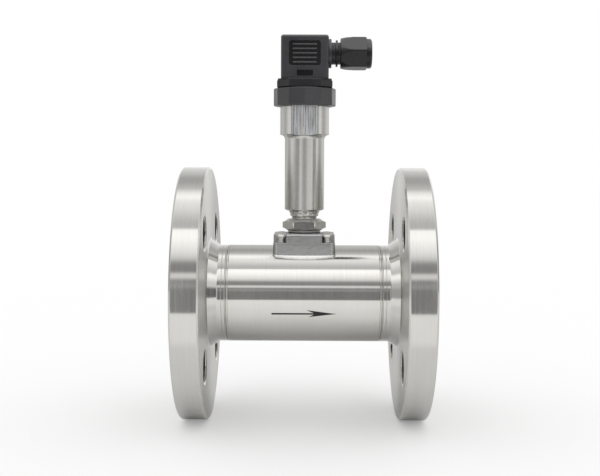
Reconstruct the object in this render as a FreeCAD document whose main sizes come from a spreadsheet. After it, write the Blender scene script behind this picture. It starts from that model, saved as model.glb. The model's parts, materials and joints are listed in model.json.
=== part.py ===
import FreeCAD, Part
import math
import os
import re
import Sketcher

# Turbine flow meter with flanged ends and a plug on top of its sensor stem, in millimetres.
# The origin is the centre of the inlet's raised face, +X is the way the fluid flows and +Z
# is the way the stem stands. A height is measured from the pipe's axis.

# Driving sizes: name, value, what it measures
DRIVING = (
    ("face_to_face", 140.0, "length of the meter between its two raised faces"),
    ("bore_dia", 32.0, "flow bore beside the rotor"),
    ("counterbore_dia", 34.0, "wider bore at each end, which takes the vane cage"),
    ("counterbore_depth", 22.0, "depth of the wider bore from the raised face"),
    ("pipe_dia", 53.5, "outside of the pipe"),
    ("flange_dia", 140.0, "outside of each flange"),
    ("flange_plate", 15.0, "thickness of the flange behind its raised face"),
    ("face_dia", 78.0, "outside of the raised face"),
    ("face_height", 3.0, "height of the raised face"),
    ("rim_chamfer", 1.0, "chamfer on the flange's rim"),
    ("hub_dia", 60.4, "foot of the short cone behind the flange"),
    ("hub_length", 5.5, "length of that cone"),
    ("stub_length", 4.5, "straight neck between the cone and the welded seam"),
    ("seam_depth", 0.4, "depth of the seam's small groove"),
    ("bolt_circle", 100.0, "circle of the flange bolts"),
    ("bolt_hole", 18.0, "bolt hole"),
    ("bolt_count", 4, "bolts in each flange"),
    ("slide_fit", 0.05, "clearance of pieces that are pushed or screwed together"),
    ("running_fit", 0.04, "radial clearance of a piece that turns in another"),
    ("groove_place", 6.5, "retaining ring's groove from the raised face"),
    ("groove_depth", 1.2, "depth of that groove in the wall"),
    ("ring_thick", 1.5, "thickness of the retaining ring"),
    ("ring_width", 3.0, "radial width of the retaining ring"),
    ("ring_gap", 9.0, "opening between the ring's ends"),
    ("ring_ear", 3.2, "how far an ear stands in from the ring"),
    ("ear_width", 5.0, "width of an ear"),
    ("ear_hole", 1.8, "plier hole in an ear"),
    ("cage_wall", 1.8, "wall of the vane cage's outer ring"),
    ("vane_count", 4, "straight vanes in each cage"),
    ("vane_thick", 1.2, "thickness of a vane"),
    ("vane_setback", 3.0, "from the rotor's side of the hub to the end of its vanes"),
    ("guide_dia", 14.0, "hub of the vane cage and of the rotor"),
    ("nose_length", 11.0, "pointed nose of the cage's hub"),
    ("nose_blunt", 3.0, "length of the nose's blunter tip"),
    ("nose_inset", 1.5, "from the cage's end to the tip of its nose"),
    ("rotor_length", 16.0, "length of the rotor"),
    ("rotor_edge", 0.6, "chamfer on the rotor's hub"),
    ("tip_gap", 0.5, "gap between blade tips and bore"),
    ("blade_count", 6, "helical blades on the rotor"),
    ("blade_thick", 1.4, "thickness of a blade"),
    ("blade_turn", 50.0, "degrees that a blade winds round over its length"),
    ("shaft_dia", 3.0, "rotor shaft"),
    ("shaft_grip", 9.0, "length of shaft inside each bush"),
    ("bush_dia", 6.0, "outside of the bearing bush"),
    ("bush_length", 10.0, "length of the bearing bush"),
    ("thrust_dia", 5.4, "outside of the thrust washer"),
    ("thrust_thick", 0.8, "thickness of the thrust washer"),
    ("thrust_gap", 0.3, "end play between thrust washer and bush"),
    ("boss_width", 33.6, "width of the square sensor block"),
    ("boss_top", 33.7, "height of the block's top"),
    ("boss_corner", 2.2, "radius of the block's upright corners"),
    ("rebate_width", 7.1, "width of the cut-back corner"),
    ("ledge_height", 29.0, "height of the ledge in the cut-back corner"),
    ("weld_leg", 1.1, "how far the weld swells out in the middle of front and back"),
    ("weld_side", 0.3, "how far the weld stands out at the block's ends"),
    ("weld_rise", 1.3, "how far the weld stands up from the pipe"),
    ("pickup_web", 2.0, "wall left between the pickup's hole and the flow bore"),
    ("screw_inset", 4.1, "corner screw's axis from the sides of the block"),
    ("screw_dia", 3.0, "corner screw"),
    ("screw_clear", 0.1, "gap between a corner screw's end and the pipe"),
    ("screw_head_dia", 5.6, "head of the corner screw"),
    ("screw_head_height", 1.9, "height of that head"),
    ("socket_dia", 2.6, "recess in the head of a small screw"),
    ("socket_depth", 1.2, "depth of that recess"),
    ("lock_washer_dia", 4.6, "spring washer under the corner screw's head"),
    ("lock_washer_thick", 1.1, "thickness of the spring washer"),
    ("lock_washer_split", 0.5, "split in the spring washer"),
    ("spacer_dia", 4.2, "spacer under the spring washer"),
    ("seal_dia", 17.6, "dark washer between block and lock nut"),
    ("seal_thick", 1.2, "thickness of that washer"),
    ("thread_dia", 14.0, "threaded part of the pickup sleeve"),
    ("nut_flats", 21.1, "lock nut across its flats"),
    ("nut_height", 6.6, "height of the lock nut"),
    ("nut_round", 17.9, "circle that the lock nut's chamfer leaves on its faces"),
    ("nut_chamfer", 1.3, "height of that chamfer at the corners"),
    ("neck_length", 3.0, "cone of the sleeve below the stem"),
    ("neck_dia", 16.4, "top of that cone"),
    ("sleeve_bore", 10.0, "bore of the pickup sleeve"),
    ("sleeve_floor", 1.0, "closed end of the pickup sleeve"),
    ("plug_length", 14.0, "length of the sleeve inside the stem"),
    ("core_dia", 3.0, "iron core of the coil"),
    ("bobbin_length", 18.0, "length of the coil's bobbin"),
    ("bobbin_wall", 0.8, "wall of the bobbin's tube"),
    ("bobbin_rim", 1.2, "thickness of the bobbin's end discs"),
    ("magnet_length", 9.0, "length of the magnet"),
    ("magnet_dia", 9.0, "diameter of the magnet"),
    ("stem_dia", 21.7, "lower part of the stem"),
    ("stem_bottom", 46.8, "height of the stem's lower edge"),
    ("stem_chamfer", 1.0, "height of the cone under that edge"),
    ("stem_wall", 2.5, "wall of the lower stem"),
    ("shoulder_high", 88.0, "height at which the stem has widened"),
    ("head_dia", 27.0, "upper part of the stem"),
    ("head_top", 103.6, "height of the stem's top"),
    ("head_flats", 23.0, "stem's upper part across its two wrench flats"),
    ("board_width", 14.0, "width of the amplifier board"),
    ("board_thick", 1.6, "thickness of the amplifier board"),
    ("board_gap", 0.3, "gap between the board and the plug base above it"),
    ("chip_width", 7.0, "width of the board's chips"),
    ("chip_height", 4.4, "length of the board's chips along the stem"),
    ("chip_thick", 1.7, "thickness of the board's chips"),
    ("chip_pitch", 8.2, "from one chip to the next"),
    ("chip_start", 5.0, "from the board's lower edge to the first chip's middle"),
    ("chip_count", 4, "chips on the board"),
    ("coupling_dia", 34.3, "coupling nut across its corners"),
    ("coupling_height", 9.9, "height of the coupling nut"),
    ("coupling_edge", 0.5, "bevel on the coupling nut's ends"),
    ("shank_dia", 20.0, "threaded shank of the plug base"),
    ("shank_grip", 8.0, "length of the shank inside the stem"),
    ("shank_bore", 15.0, "hollow of the shank"),
    ("base_gap", 0.3, "gap between coupling nut and plug base"),
    ("base_width", 30.2, "width of the plug base"),
    ("base_cut", 6.5, "cut-off corner of the plug base"),
    ("base_height", 3.4, "thickness of the plug base"),
    ("base_floor", 4.0, "closed part of the shank below the plug base"),
    ("gasket_inset", 0.4, "how far the gasket's edge lies inside the base's edge"),
    ("gasket_thick", 1.1, "thickness of the gasket"),
    ("gasket_window", 17.0, "opening in the gasket"),
    ("blade_place", 6.5, "contact blade from the plug's axis"),
    ("contact_width", 5.0, "width of a contact blade"),
    ("contact_thick", 0.8, "thickness of a contact blade"),
    ("contact_rise", 9.0, "contact blade above the plug base"),
    ("contact_tail", 4.0, "contact blade below the plug base's floor"),
    ("shell_width", 25.9, "plug housing along the pipe"),
    ("shell_depth", 27.0, "plug housing across the pipe"),
    ("shell_height", 23.2, "height of the plug housing"),
    ("shell_wall", 2.0, "wall of the plug housing"),
    ("shell_roof", 3.3, "top wall of the plug housing"),
    ("shell_round", 1.4, "rounded edges of the plug housing"),
    ("panel_width", 17.2, "recessed panel on the plug housing"),
    ("panel_height", 13.4, "height of that panel"),
    ("panel_low", 6.6, "panel's lower edge above the housing's foot"),
    ("panel_depth", 0.8, "depth of the panel"),
    ("panel_round", 1.2, "rounded corners of the panel"),
    ("rib_count", 5, "even ribs in the panel"),
    ("rib_length", 13.0, "length of a rib"),
    ("rib_thick", 0.7, "height of a rib on the panel"),
    ("rib_pitch", 2.4, "from one rib to the next"),
    ("rib_rise", 0.4, "how far a rib stands out of the panel's floor"),
    ("notch_width", 8.8, "small slot below the panel"),
    ("notch_height", 3.2, "height of that slot"),
    ("notch_low", 1.0, "slot's lower edge above the housing's foot"),
    ("notch_depth", 1.0, "depth of that slot"),
    ("plug_screw_dia", 3.0, "long screw that holds the plug"),
    ("plug_screw_grip", 6.0, "length of that screw inside the plug base"),
    ("plug_head_dia", 5.5, "head of the long screw"),
    ("plug_head_height", 1.8, "height of that head"),
    ("head_well", 7.0, "round well for the head in the housing's top"),
    ("well_depth", 2.4, "depth of that well"),
    ("screw_seal_thick", 0.6, "seal under the long screw's head"),
    ("block_height", 10.4, "height of the terminal block"),
    ("block_gap", 0.2, "clearance round the terminal block"),
    ("clamp_dia", 3.6, "terminal screw"),
    ("clamp_length", 4.0, "length of a terminal screw"),
    ("gland_rise", 14.4, "cable gland's axis above the plug housing's foot"),
    ("collar_dia", 16.0, "collar at the foot of the cable spout"),
    ("collar_length", 1.7, "length of that collar"),
    ("spout_dia", 12.3, "threaded cable spout"),
    ("spout_length", 12.95, "length of the spout beyond its collar"),
    ("spout_bore", 8.4, "cable hole through the spout"),
    ("slip_ring_dia", 14.7, "thin ring on the spout"),
    ("slip_ring_thick", 1.1, "thickness of the slip ring"),
    ("slip_ring_place", 2.25, "slip ring from the collar"),
    ("cable_dia", 7.2, "hole in the rubber seal"),
    ("seal_length", 7.5, "length of the rubber seal"),
    ("seal_wall", 1.3, "wall of the rubber seal"),
    ("claw_gap", 1.05, "room between seal and clamping claw"),
    ("claw_length", 3.7, "length of the clamping claw"),
    ("claw_foot", 11.2, "wide end of the clamping claw"),
    ("claw_tip", 9.4, "narrow end of the clamping claw"),
    ("claw_bore", 7.8, "hole in the clamping claw"),
    ("nut_clearance", 0.3, "gap between clamping claw and cap nut"),
    ("cap_start", 4.85, "cap nut's open end from the collar"),
    ("cap_flats", 16.6, "cap nut across its flats"),
    ("cap_hex", 14.3, "length of the cap nut's hexagon"),
    ("cap_end", 3.0, "length of the cap nut's round end"),
    ("cap_end_dia", 16.2, "diameter of that end"),
    ("cap_bevel", 1.3, "bevel of that end"),
    ("cap_foot", 16.6, "cap nut's open end, where its corners are turned off"),
    ("cap_turned", 7.5, "length over which its corners are turned off"),
    ("cap_mouth", 9.2, "cable hole in the cap nut"),
    ("cap_tilt", 6.8, "degrees that the cap nut's first corner stands off the level"),
)

# Sizes that follow from the driving ones
DERIVED = {
    "middle": "face_to_face / 2",
    "bore_r": "bore_dia / 2",
    "counter_r": "counterbore_dia / 2",
    "pipe_r": "pipe_dia / 2",
    "flange_r": "flange_dia / 2",
    "flange_back": "face_height + flange_plate",
    "hub_end": "flange_back + hub_length",
    "stub_end": "hub_end + stub_length",
    "far_stub": "face_to_face - stub_end",
    "groove_end": "groove_place + ring_thick + slide_fit",
    "ring_outer": "counter_r + groove_depth - slide_fit",
    "ring_inner": "ring_outer - ring_width",
    "cage_start": "groove_end",
    "cage_outer": "counter_r - slide_fit",
    "cage_inner": "cage_outer - cage_wall",
    "cage_end": "counterbore_depth - slide_fit",
    "nose_tip": "cage_start + nose_inset",
    "guide_r": "guide_dia / 2",
    "rotor_half": "rotor_length / 2",
    "nose_step": "nose_tip + nose_blunt",
    "thrust_face": "rotor_half + thrust_thick",
    "guide_face": "middle - thrust_face - thrust_gap",
    "vane_end": "guide_face - vane_setback",
    "tip_r": "bore_r - tip_gap",
    "shaft_r": "shaft_dia / 2",
    "shaft_half": "thrust_face + thrust_gap + shaft_grip",
    "bush_r": "bush_dia / 2",
    "boss_half": "boss_width / 2",
    "screw_place": "boss_half - screw_inset",
    "screw_head_low": "boss_top - screw_head_height",
    "screw_end": "sqrt(pipe_r ^ 2 - (screw_place - screw_dia / 2) ^ 2) + screw_clear",
    "spacer_top": "screw_head_low - lock_washer_thick",
    "thread_r": "thread_dia / 2",
    "thread_hole": "thread_r + slide_fit",
    "pickup_floor": "bore_r + pickup_web",
    "sleeve_end": "pickup_floor + slide_fit",
    "sleeve_inside": "sleeve_end + sleeve_floor",
    "sleeve_bore_r": "sleeve_bore / 2",
    "nut_low": "boss_top + seal_thick",
    "nut_top": "nut_low + nut_height",
    "nut_corner": "nut_flats / sqrt(3)",
    "stem_low": "stem_bottom - stem_chamfer",
    "neck_low": "stem_low - neck_length",
    "stem_r": "stem_dia / 2",
    "stem_bore_r": "stem_r - stem_wall",
    "plug_top": "stem_low + plug_length",
    "coil_top": "sleeve_inside + bobbin_length",
    "bobbin_r": "sleeve_bore_r - slide_fit",
    "spool_r": "core_dia / 2 + slide_fit + bobbin_wall",
    "head_r": "head_dia / 2",
    "shoulder_round": "head_r - stem_r",
    "shoulder_low": "shoulder_high - shoulder_round",
    "shank_r": "shank_dia / 2",
    "shank_end": "head_top - shank_grip",
    "board_top": "shank_end - board_gap",
    "coupling_top": "head_top + coupling_height",
    "base_low": "coupling_top + base_gap",
    "base_top": "base_low + base_height",
    "base_half": "base_width / 2",
    "blind_top": "base_low - base_floor",
    "shell_low": "base_top + gasket_thick",
    "shell_top": "shell_low + shell_height",
    "gland_height": "shell_low + gland_rise",
    "shell_half": "shell_width / 2",
    "cavity_width": "shell_width - 2 * shell_wall",
    "cavity_depth": "shell_depth - 2 * shell_wall",
    "well_floor": "shell_top - well_depth",
    "plug_screw_r": "plug_screw_dia / 2",
    "block_width": "cavity_width - 2 * block_gap",
    "block_depth": "cavity_depth - 2 * block_gap",
    "block_top": "shell_low + block_height",
    "collar_end": "shell_half + collar_length",
    "spout_end": "collar_end + spout_length",
    "spout_r": "spout_dia / 2",
    "seal_start": "spout_end - seal_length",
    "seal_inner": "cable_dia / 2",
    "seal_outer": "seal_inner + seal_wall",
    "slip_ring_start": "collar_end + slip_ring_place",
    "claw_start": "spout_end + claw_gap",
    "claw_end": "claw_start + claw_length",
    "cap_low": "collar_end + cap_start",
    "cap_shoulder": "cap_low + cap_hex",
    "cap_tip": "cap_shoulder + cap_end",
    "cap_corner": "cap_flats / sqrt(3)",
    "cap_thread": "spout_r + running_fit",
}

SIZES = {name: value for name, value, meaning in DRIVING}
WORD = re.compile(r"[a-z][a-z0-9_]*")
ALONG_X, ALONG_Z = FreeCAD.Vector(1, 0, 0), FreeCAD.Vector(0, 0, 1)


# Formulas: the text in which a sketch or feature gives a size

def bound(formula):
    """The formula written with the sheet's cells, for setExpression."""
    def cell(found):
        word = found.group()
        if word in DERIVED:
            return "(" + bound(DERIVED[word]) + ")"
        return "Sizes." + word if word in SIZES else word
    return WORD.sub(cell, formula)


def number(formula):
    """The formula's value, with which a sketch is first drawn."""
    def value(found):
        word = found.group()
        if word in DERIVED:
            return "(%.9f)" % number(DERIVED[word])
        return "(%.9f)" % SIZES[word] if word in SIZES else word
    return FreeCAD.Units.Quantity(WORD.sub(value, formula)).Value


# The document and its sheet of sizes

doc = FreeCAD.newDocument("flow_meter")
bodies = []


def write_sheet():
    sheet = doc.addObject("Spreadsheet::Sheet", "Sizes")
    for row, (name, value, meaning) in enumerate(DRIVING, 1):
        sheet.set("A%d" % row, name)
        sheet.set("B%d" % row, str(value))
        sheet.setAlias("B%d" % row, name)
        sheet.set("C%d" % row, meaning)
    doc.recompute()


# Bodies, sketches and features

def new_body(label, x="0", z="0", turn=FreeCAD.Rotation()):
    body = doc.addObject("PartDesign::Body", label)
    body.Label = label
    body.AllowCompound = True
    body.Placement = FreeCAD.Placement(FreeCAD.Vector(), turn)
    body.setExpression("Placement.Base.x", bound(x))
    body.setExpression("Placement.Base.z", bound(z))
    bodies.append(body)
    return body


def origin_part(body, role):
    return next(part for part in body.Origin.OriginFeatures if part.Role == role)


def new_sketch(body, name, plane, across="0", up="0", off="0"):
    """A sketch on one of the body's origin planes, shifted in the plane and off it."""
    sketch = body.newObject("Sketcher::SketchObject", name)
    sketch.AttachmentSupport = [(origin_part(body, plane), "")]
    sketch.MapMode = "FlatFace"
    for axis, shift in (("x", across), ("y", up), ("z", off)):
        if shift != "0":
            sketch.setExpression("AttachmentOffset.Base." + axis, bound(shift))
    return sketch


def tie(sketch, kind, formula, *where):
    """A constraint whose value is bound to the sheet."""
    index = sketch.addConstraint(Sketcher.Constraint(kind, *where, number(formula)))
    sketch.setExpression("Constraints[%d]" % index, bound(formula))


def arc_between(start, end, radius, side):
    """An arc whose belly is left (1) or right (-1) of the way from start to end."""
    chord = end - start
    rise = radius - math.sqrt(max(radius ** 2 - (chord.Length / 2) ** 2, 0))
    left = FreeCAD.Vector(-chord.y, chord.x, 0).normalize()
    return Part.Arc(start, (start + end) / 2 + left * rise * side, end)


def outline(sketch, points):
    """A closed outline. A point is (x, y), or (x, y, radius, side) before an arc."""
    places = [FreeCAD.Vector(number(point[0]), number(point[1]), 0) for point in points]
    ends = []
    for n, point in enumerate(points):
        start, end = places[n], places[(n + 1) % len(points)]
        if len(point) == 2:
            index = sketch.addGeometry(Part.LineSegment(start, end), False)
            ends.append((index, 1, 2))
        else:
            arc = arc_between(start, end, number(point[2]), point[3])
            index = sketch.addGeometry(arc, False)
            ends.append((index, 1, 2) if point[3] < 0 else (index, 2, 1))
            tie(sketch, "Radius", point[2], index)
    for n, point in enumerate(points):
        before, after = ends[n - 1], ends[n]
        sketch.addConstraint(Sketcher.Constraint("Coincident", before[0], before[2],
                                                 after[0], after[1]))
        tie(sketch, "DistanceX", point[0], after[0], after[1])
        tie(sketch, "DistanceY", point[1], after[0], after[1])


def circle(sketch, radius, x="0", y="0"):
    centre = FreeCAD.Vector(number(x), number(y), 0)
    index = sketch.addGeometry(Part.Circle(centre, ALONG_Z, number(radius)), False)
    tie(sketch, "Radius", radius, index)
    tie(sketch, "DistanceX", x, index, 3)
    tie(sketch, "DistanceY", y, index, 3)


def rectangle(sketch, left, low, right, high):
    outline(sketch, [(left, low), (right, low), (right, high), (left, high)])


def centred(sketch, width, height, radius="0", cut="0"):
    """A rectangle round the sketch's origin, with rounded or cut-off corners."""
    w, h = "(%s) / 2" % width, "(%s) / 2" % height
    inset = radius if radius != "0" else cut
    if inset == "0":
        rectangle(sketch, "-" + w, "-" + h, w, h)
        return
    corners = []
    for sx, sy, first in (("", "-", "y"), ("", "", "x"), ("-", "", "y"), ("-", "-", "x")):
        near_x = (sx + w, "%s(%s - (%s))" % (sy, h, inset))
        near_y = ("%s(%s - (%s))" % (sx, w, inset), sy + h)
        corners.append((near_y, near_x) if first == "y" else (near_x, near_y))
    points = []
    for arrive, leave in corners:
        points.append(arrive + (radius, -1) if radius != "0" else arrive)
        points.append(leave)
    outline(sketch, points)


def polygon(sketch, sides, corner):
    """A regular polygon round the sketch's origin, with its first corner along x."""
    turns = [2 * math.pi * n / sides for n in range(sides)]
    outline(sketch, [("(%s) * %.12f" % (corner, math.cos(turn)),
                      "(%s) * %.12f" % (corner, math.sin(turn))) for turn in turns])


def turned(body, name, outlines, axis="H_Axis", cut=False, shift=("0", "0", "0")):
    """Outlines drawn in the upright plane along the pipe and turned round their own axis."""
    sketch = new_sketch(body, name + "_outline", "XZ_Plane", *shift)
    for points in outlines:
        outline(sketch, points)
    feature = body.newObject("PartDesign::Groove" if cut else "PartDesign::Revolution", name)
    feature.Profile = sketch
    feature.ReferenceAxis = (sketch, [axis])
    feature.Angle = 360
    return feature


def extruded(body, name, sketch, length, cut=False, both=False, flip=False):
    feature = body.newObject("PartDesign::Pocket" if cut else "PartDesign::Pad", name)
    feature.Profile = sketch
    feature.SideType = "Symmetric" if both else "One side"
    feature.Reversed = flip
    feature.setExpression("Length", bound(length))
    return feature


def around(body, feature, axis, count):
    pattern = body.newObject("PartDesign::PolarPattern", feature.Name + "_pattern")
    pattern.Originals = [feature]
    pattern.Axis = (origin_part(body, axis), [""])
    pattern.Angle = 360
    pattern.setExpression("Occurrences", bound(count))
    body.Tip = pattern
    return pattern


def in_a_row(body, feature, axis, count, pitch):
    pattern = body.newObject("PartDesign::LinearPattern", feature.Name + "_pattern")
    pattern.Originals = [feature]
    pattern.Direction = (origin_part(body, axis), [""])
    pattern.Mode = "Spacing"
    pattern.setExpression("Offset", bound(pitch))
    pattern.setExpression("Occurrences", bound(count))
    body.Tip = pattern
    return pattern


def rounded(body, name, wanted, radius):
    """Rounds the edges of the body so far for which wanted(edge) is true."""
    doc.recompute()
    base = body.Tip
    edges = ["Edge%d" % n for n, edge in enumerate(base.Shape.Edges, 1) if wanted(edge)]
    feature = body.newObject("PartDesign::Fillet", name)
    feature.Base = (base, edges)
    feature.setExpression("Radius", bound(radius))
    return feature


# Pipe: two flanges and the tube welded between them

def pipe_flange(label, at_outlet):
    """A flange with its raised face at the body's origin and the pipe along +X."""
    turn = FreeCAD.Rotation(ALONG_Z, 180 if at_outlet else 0)
    body = new_body(label, x="face_to_face" if at_outlet else "0", turn=turn)
    turned(body, label + "_form", [[
        ("0", "counter_r"), ("0", "face_dia / 2"), ("face_height", "face_dia / 2"),
        ("face_height", "flange_r - rim_chamfer"), ("face_height + rim_chamfer", "flange_r"),
        ("flange_back - rim_chamfer", "flange_r"), ("flange_back", "flange_r - rim_chamfer"),
        ("flange_back", "hub_dia / 2"), ("hub_end", "pipe_r"),
        ("stub_end - seam_depth", "pipe_r"), ("stub_end", "pipe_r - seam_depth"),
        ("stub_end", "bore_r"), ("counterbore_depth", "bore_r"),
        ("counterbore_depth", "counter_r"), ("groove_end", "counter_r"),
        ("groove_end", "counter_r + groove_depth"),
        ("groove_place", "counter_r + groove_depth"), ("groove_place", "counter_r")]])
    hole = new_sketch(body, label + "_hole", "YZ_Plane")
    circle(hole, "bolt_hole / 2", "bolt_circle / 2 * sqrt(0.5)", "bolt_circle / 2 * sqrt(0.5)")
    first = extruded(body, label + "_bolt_hole", hole, "flange_back", cut=True, flip=True)
    around(body, first, "X_Axis", "bolt_count")


def body_tube():
    body = new_body("body_tube")
    turned(body, "tube_form", [[
        ("stub_end", "bore_r"), ("stub_end", "pipe_r - seam_depth"),
        ("stub_end + seam_depth", "pipe_r"), ("far_stub - seam_depth", "pipe_r"),
        ("far_stub", "pipe_r - seam_depth"), ("far_stub", "bore_r")]])
    hole = new_sketch(body, "pickup_hole_outline", "XY_Plane", off="pickup_floor")
    circle(hole, "thread_hole", "middle")
    extruded(body, "pickup_hole", hole, "pipe_r", cut=True, flip=True)


# Vane cages, their retaining rings and bearings

def straightener(label, at_outlet):
    """A ring, straight vanes and a hub with a pointed nose, which carries the bearing."""
    tilt = FreeCAD.Rotation(ALONG_X, 45)
    turn = FreeCAD.Rotation(ALONG_Z, 180 if at_outlet else 0)
    body = new_body(label, x="face_to_face" if at_outlet else "0", turn=turn * tilt)
    turned(body, label + "_hub", [[
        ("nose_tip", "0"), ("nose_step", "guide_r * 0.55"), ("nose_tip + nose_length", "guide_r"),
        ("guide_face", "guide_r"), ("guide_face", "bush_r + slide_fit"),
        ("guide_face - bush_length", "bush_r + slide_fit"), ("guide_face - bush_length", "0")]])
    vane = new_sketch(body, label + "_vane_outline", "XZ_Plane")
    outline(vane, [
        ("nose_tip + nose_length / 2", "guide_r / 2"), ("vane_end", "guide_r / 2"),
        ("vane_end", "bore_r - slide_fit"), ("cage_start", "bore_r - slide_fit"),
        ("cage_start", "cage_inner - cage_wall")])
    first = extruded(body, label + "_vane", vane, "vane_thick", both=True)
    around(body, first, "X_Axis", "vane_count")
    turned(body, label + "_ring", [[
        ("cage_start", "cage_inner"), ("cage_start", "cage_outer"),
        ("cage_end", "cage_outer"), ("cage_end", "cage_inner")]])


def retaining_ring(label, at_outlet):
    """An open spring ring with two ears, snapped into its groove in front of the cage."""
    turn = FreeCAD.Rotation(ALONG_Z, 180 if at_outlet else 0)
    body = new_body(label, x="face_to_face" if at_outlet else "0", turn=turn)
    turned(body, label + "_form", [[
        ("groove_place + slide_fit", "ring_inner"), ("groove_place + slide_fit", "ring_outer"),
        ("groove_end - slide_fit", "ring_outer"), ("groove_end - slide_fit", "ring_inner")]])
    ears = new_sketch(body, label + "_ears_outline", "YZ_Plane", off="groove_place + slide_fit")
    reach = "ring_gap / 2 + ear_width"
    rectangle(ears, "-(%s)" % reach, "ring_inner - ring_ear", reach, "ring_inner")
    thick = "ring_thick - slide_fit"
    extruded(body, label + "_ears", ears, thick)
    gap = new_sketch(body, label + "_gap_outline", "YZ_Plane", off="groove_place")
    rectangle(gap, "-ring_gap / 2", "ring_inner - 2 * ring_ear", "ring_gap / 2", "2 * ring_outer")
    extruded(body, label + "_gap", gap, "2 * ring_thick", cut=True, flip=True)
    holes = new_sketch(body, label + "_holes_outline", "YZ_Plane", off="groove_place")
    for side in ("", "-"):
        circle(holes, "ear_hole / 2", side + "(ring_gap / 2 + ear_width / 2)",
               "ring_inner - ring_ear / 2")
    extruded(body, label + "_holes", holes, "2 * ring_thick", cut=True, flip=True)


def bearing_bush(label, at_outlet):
    turn = FreeCAD.Rotation(ALONG_Z, 180 if at_outlet else 0)
    body = new_body(label, x="face_to_face" if at_outlet else "0", turn=turn)
    turned(body, label + "_form", [[
        ("guide_face - bush_length", "shaft_r + running_fit"),
        ("guide_face - bush_length", "bush_r"), ("guide_face", "bush_r"),
        ("guide_face", "shaft_r + running_fit")]])


# Rotor

def rotor():
    """A hub with helical blades, each swept along the flow as it winds round the axis."""
    body = new_body("rotor", x="middle")
    turned(body, "rotor_hub", [[
        ("-rotor_half", "shaft_r + slide_fit"), ("-rotor_half", "guide_r - rotor_edge"),
        ("-rotor_half + rotor_edge", "guide_r"), ("rotor_half - rotor_edge", "guide_r"),
        ("rotor_half", "guide_r - rotor_edge"), ("rotor_half", "shaft_r + slide_fit")]])
    section = new_sketch(body, "blade_section", "YZ_Plane", off="-rotor_half + rotor_edge")
    rectangle(section, "-blade_thick / 2", "guide_r - rotor_edge", "blade_thick / 2", "tip_r")
    blade = body.newObject("PartDesign::AdditiveHelix", "blade")
    blade.Profile = section
    blade.ReferenceAxis = (origin_part(body, "X_Axis"), [""])
    blade.Mode = "pitch-height-angle"
    blade_length = "rotor_length - 2 * rotor_edge"
    blade.setExpression("Pitch", bound("(%s) * 360 / blade_turn" % blade_length))
    blade.setExpression("Height", bound(blade_length))
    around(body, blade, "X_Axis", "blade_count")


def rotor_shaft():
    body = new_body("rotor_shaft", x="middle")
    turned(body, "shaft_form", [[
        ("-shaft_half", "0"), ("-shaft_half", "shaft_r"),
        ("shaft_half", "shaft_r"), ("shaft_half", "0")]])


def thrust_washers():
    body = new_body("thrust_washers", x="middle")
    rings = []
    for sign in ("", "-"):
        near, far = sign + "rotor_half", sign + "thrust_face"
        rings.append([(near, "shaft_r + slide_fit"), (near, "thrust_dia / 2"),
                      (far, "thrust_dia / 2"), (far, "shaft_r + slide_fit")])
    turned(body, "thrust_form", rings)


# Sensor block and its corner screws

def sensor_boss():
    """A square block with cut-back corners, whose weld swells out at front and back."""
    body = new_body("sensor_boss", x="middle")
    rim = new_sketch(body, "weld_outline", "XY_Plane")
    end, swell = "boss_half + weld_side", "(boss_half ^ 2 + weld_leg ^ 2) / (2 * weld_leg)"
    outline(rim, [("-(%s)" % end, "-boss_half", swell, -1), (end, "-boss_half"),
                  (end, "boss_half", swell, -1), ("-(%s)" % end, "boss_half")])
    extruded(body, "weld_foot", rim, "boss_top")
    turned(body, "weld_top", [[
        ("-boss_width", "pipe_r + weld_rise"), ("boss_width", "pipe_r + weld_rise"),
        ("boss_width", "2 * boss_width"), ("-boss_width", "2 * boss_width")]], cut=True)
    block = new_sketch(body, "block_outline", "XY_Plane")
    centred(block, "boss_width", "boss_width", radius="boss_corner")
    extruded(body, "block_form", block, "boss_top")
    corner = new_sketch(body, "rebate_outline", "XY_Plane", off="ledge_height")
    rectangle(corner, "boss_half - rebate_width", "boss_half - rebate_width",
              "boss_width", "boss_width")
    rebate = extruded(body, "rebate", corner, "boss_top", cut=True, flip=True)
    around(body, rebate, "Z_Axis", "4")
    tapped = new_sketch(body, "tapped_outline", "XY_Plane", off="ledge_height")
    circle(tapped, "screw_dia / 2 + slide_fit", "screw_place", "screw_place")
    hole = extruded(body, "tapped_hole", tapped, "ledge_height", cut=True)
    around(body, hole, "Z_Axis", "4")
    saddle = new_sketch(body, "saddle_outline", "YZ_Plane")
    circle(saddle, "pipe_r")
    extruded(body, "saddle", saddle, "2 * boss_width", cut=True, both=True)
    bore = new_sketch(body, "boss_bore_outline", "XY_Plane")
    circle(bore, "thread_hole")
    extruded(body, "boss_bore", bore, "2 * boss_top", cut=True, flip=True)


def corner_pieces(label, points):
    """The same turned piece on each of the block's four corner screws."""
    body = new_body(label, x="middle")
    piece = turned(body, label + "_form", [points], axis="V_Axis",
                   shift=("screw_place", "0", "-screw_place"))
    around(body, piece, "Z_Axis", "4")
    return body


def boss_screws():
    corner_pieces("boss_screws", [
        ("0", "screw_end"), ("screw_dia / 2", "screw_end"),
        ("screw_dia / 2", "screw_head_low"), ("screw_head_dia / 2", "screw_head_low"),
        ("screw_head_dia / 2", "boss_top"), ("socket_dia / 2", "boss_top"),
        ("socket_dia / 2", "boss_top - socket_depth"), ("0", "boss_top - socket_depth")])


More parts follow.
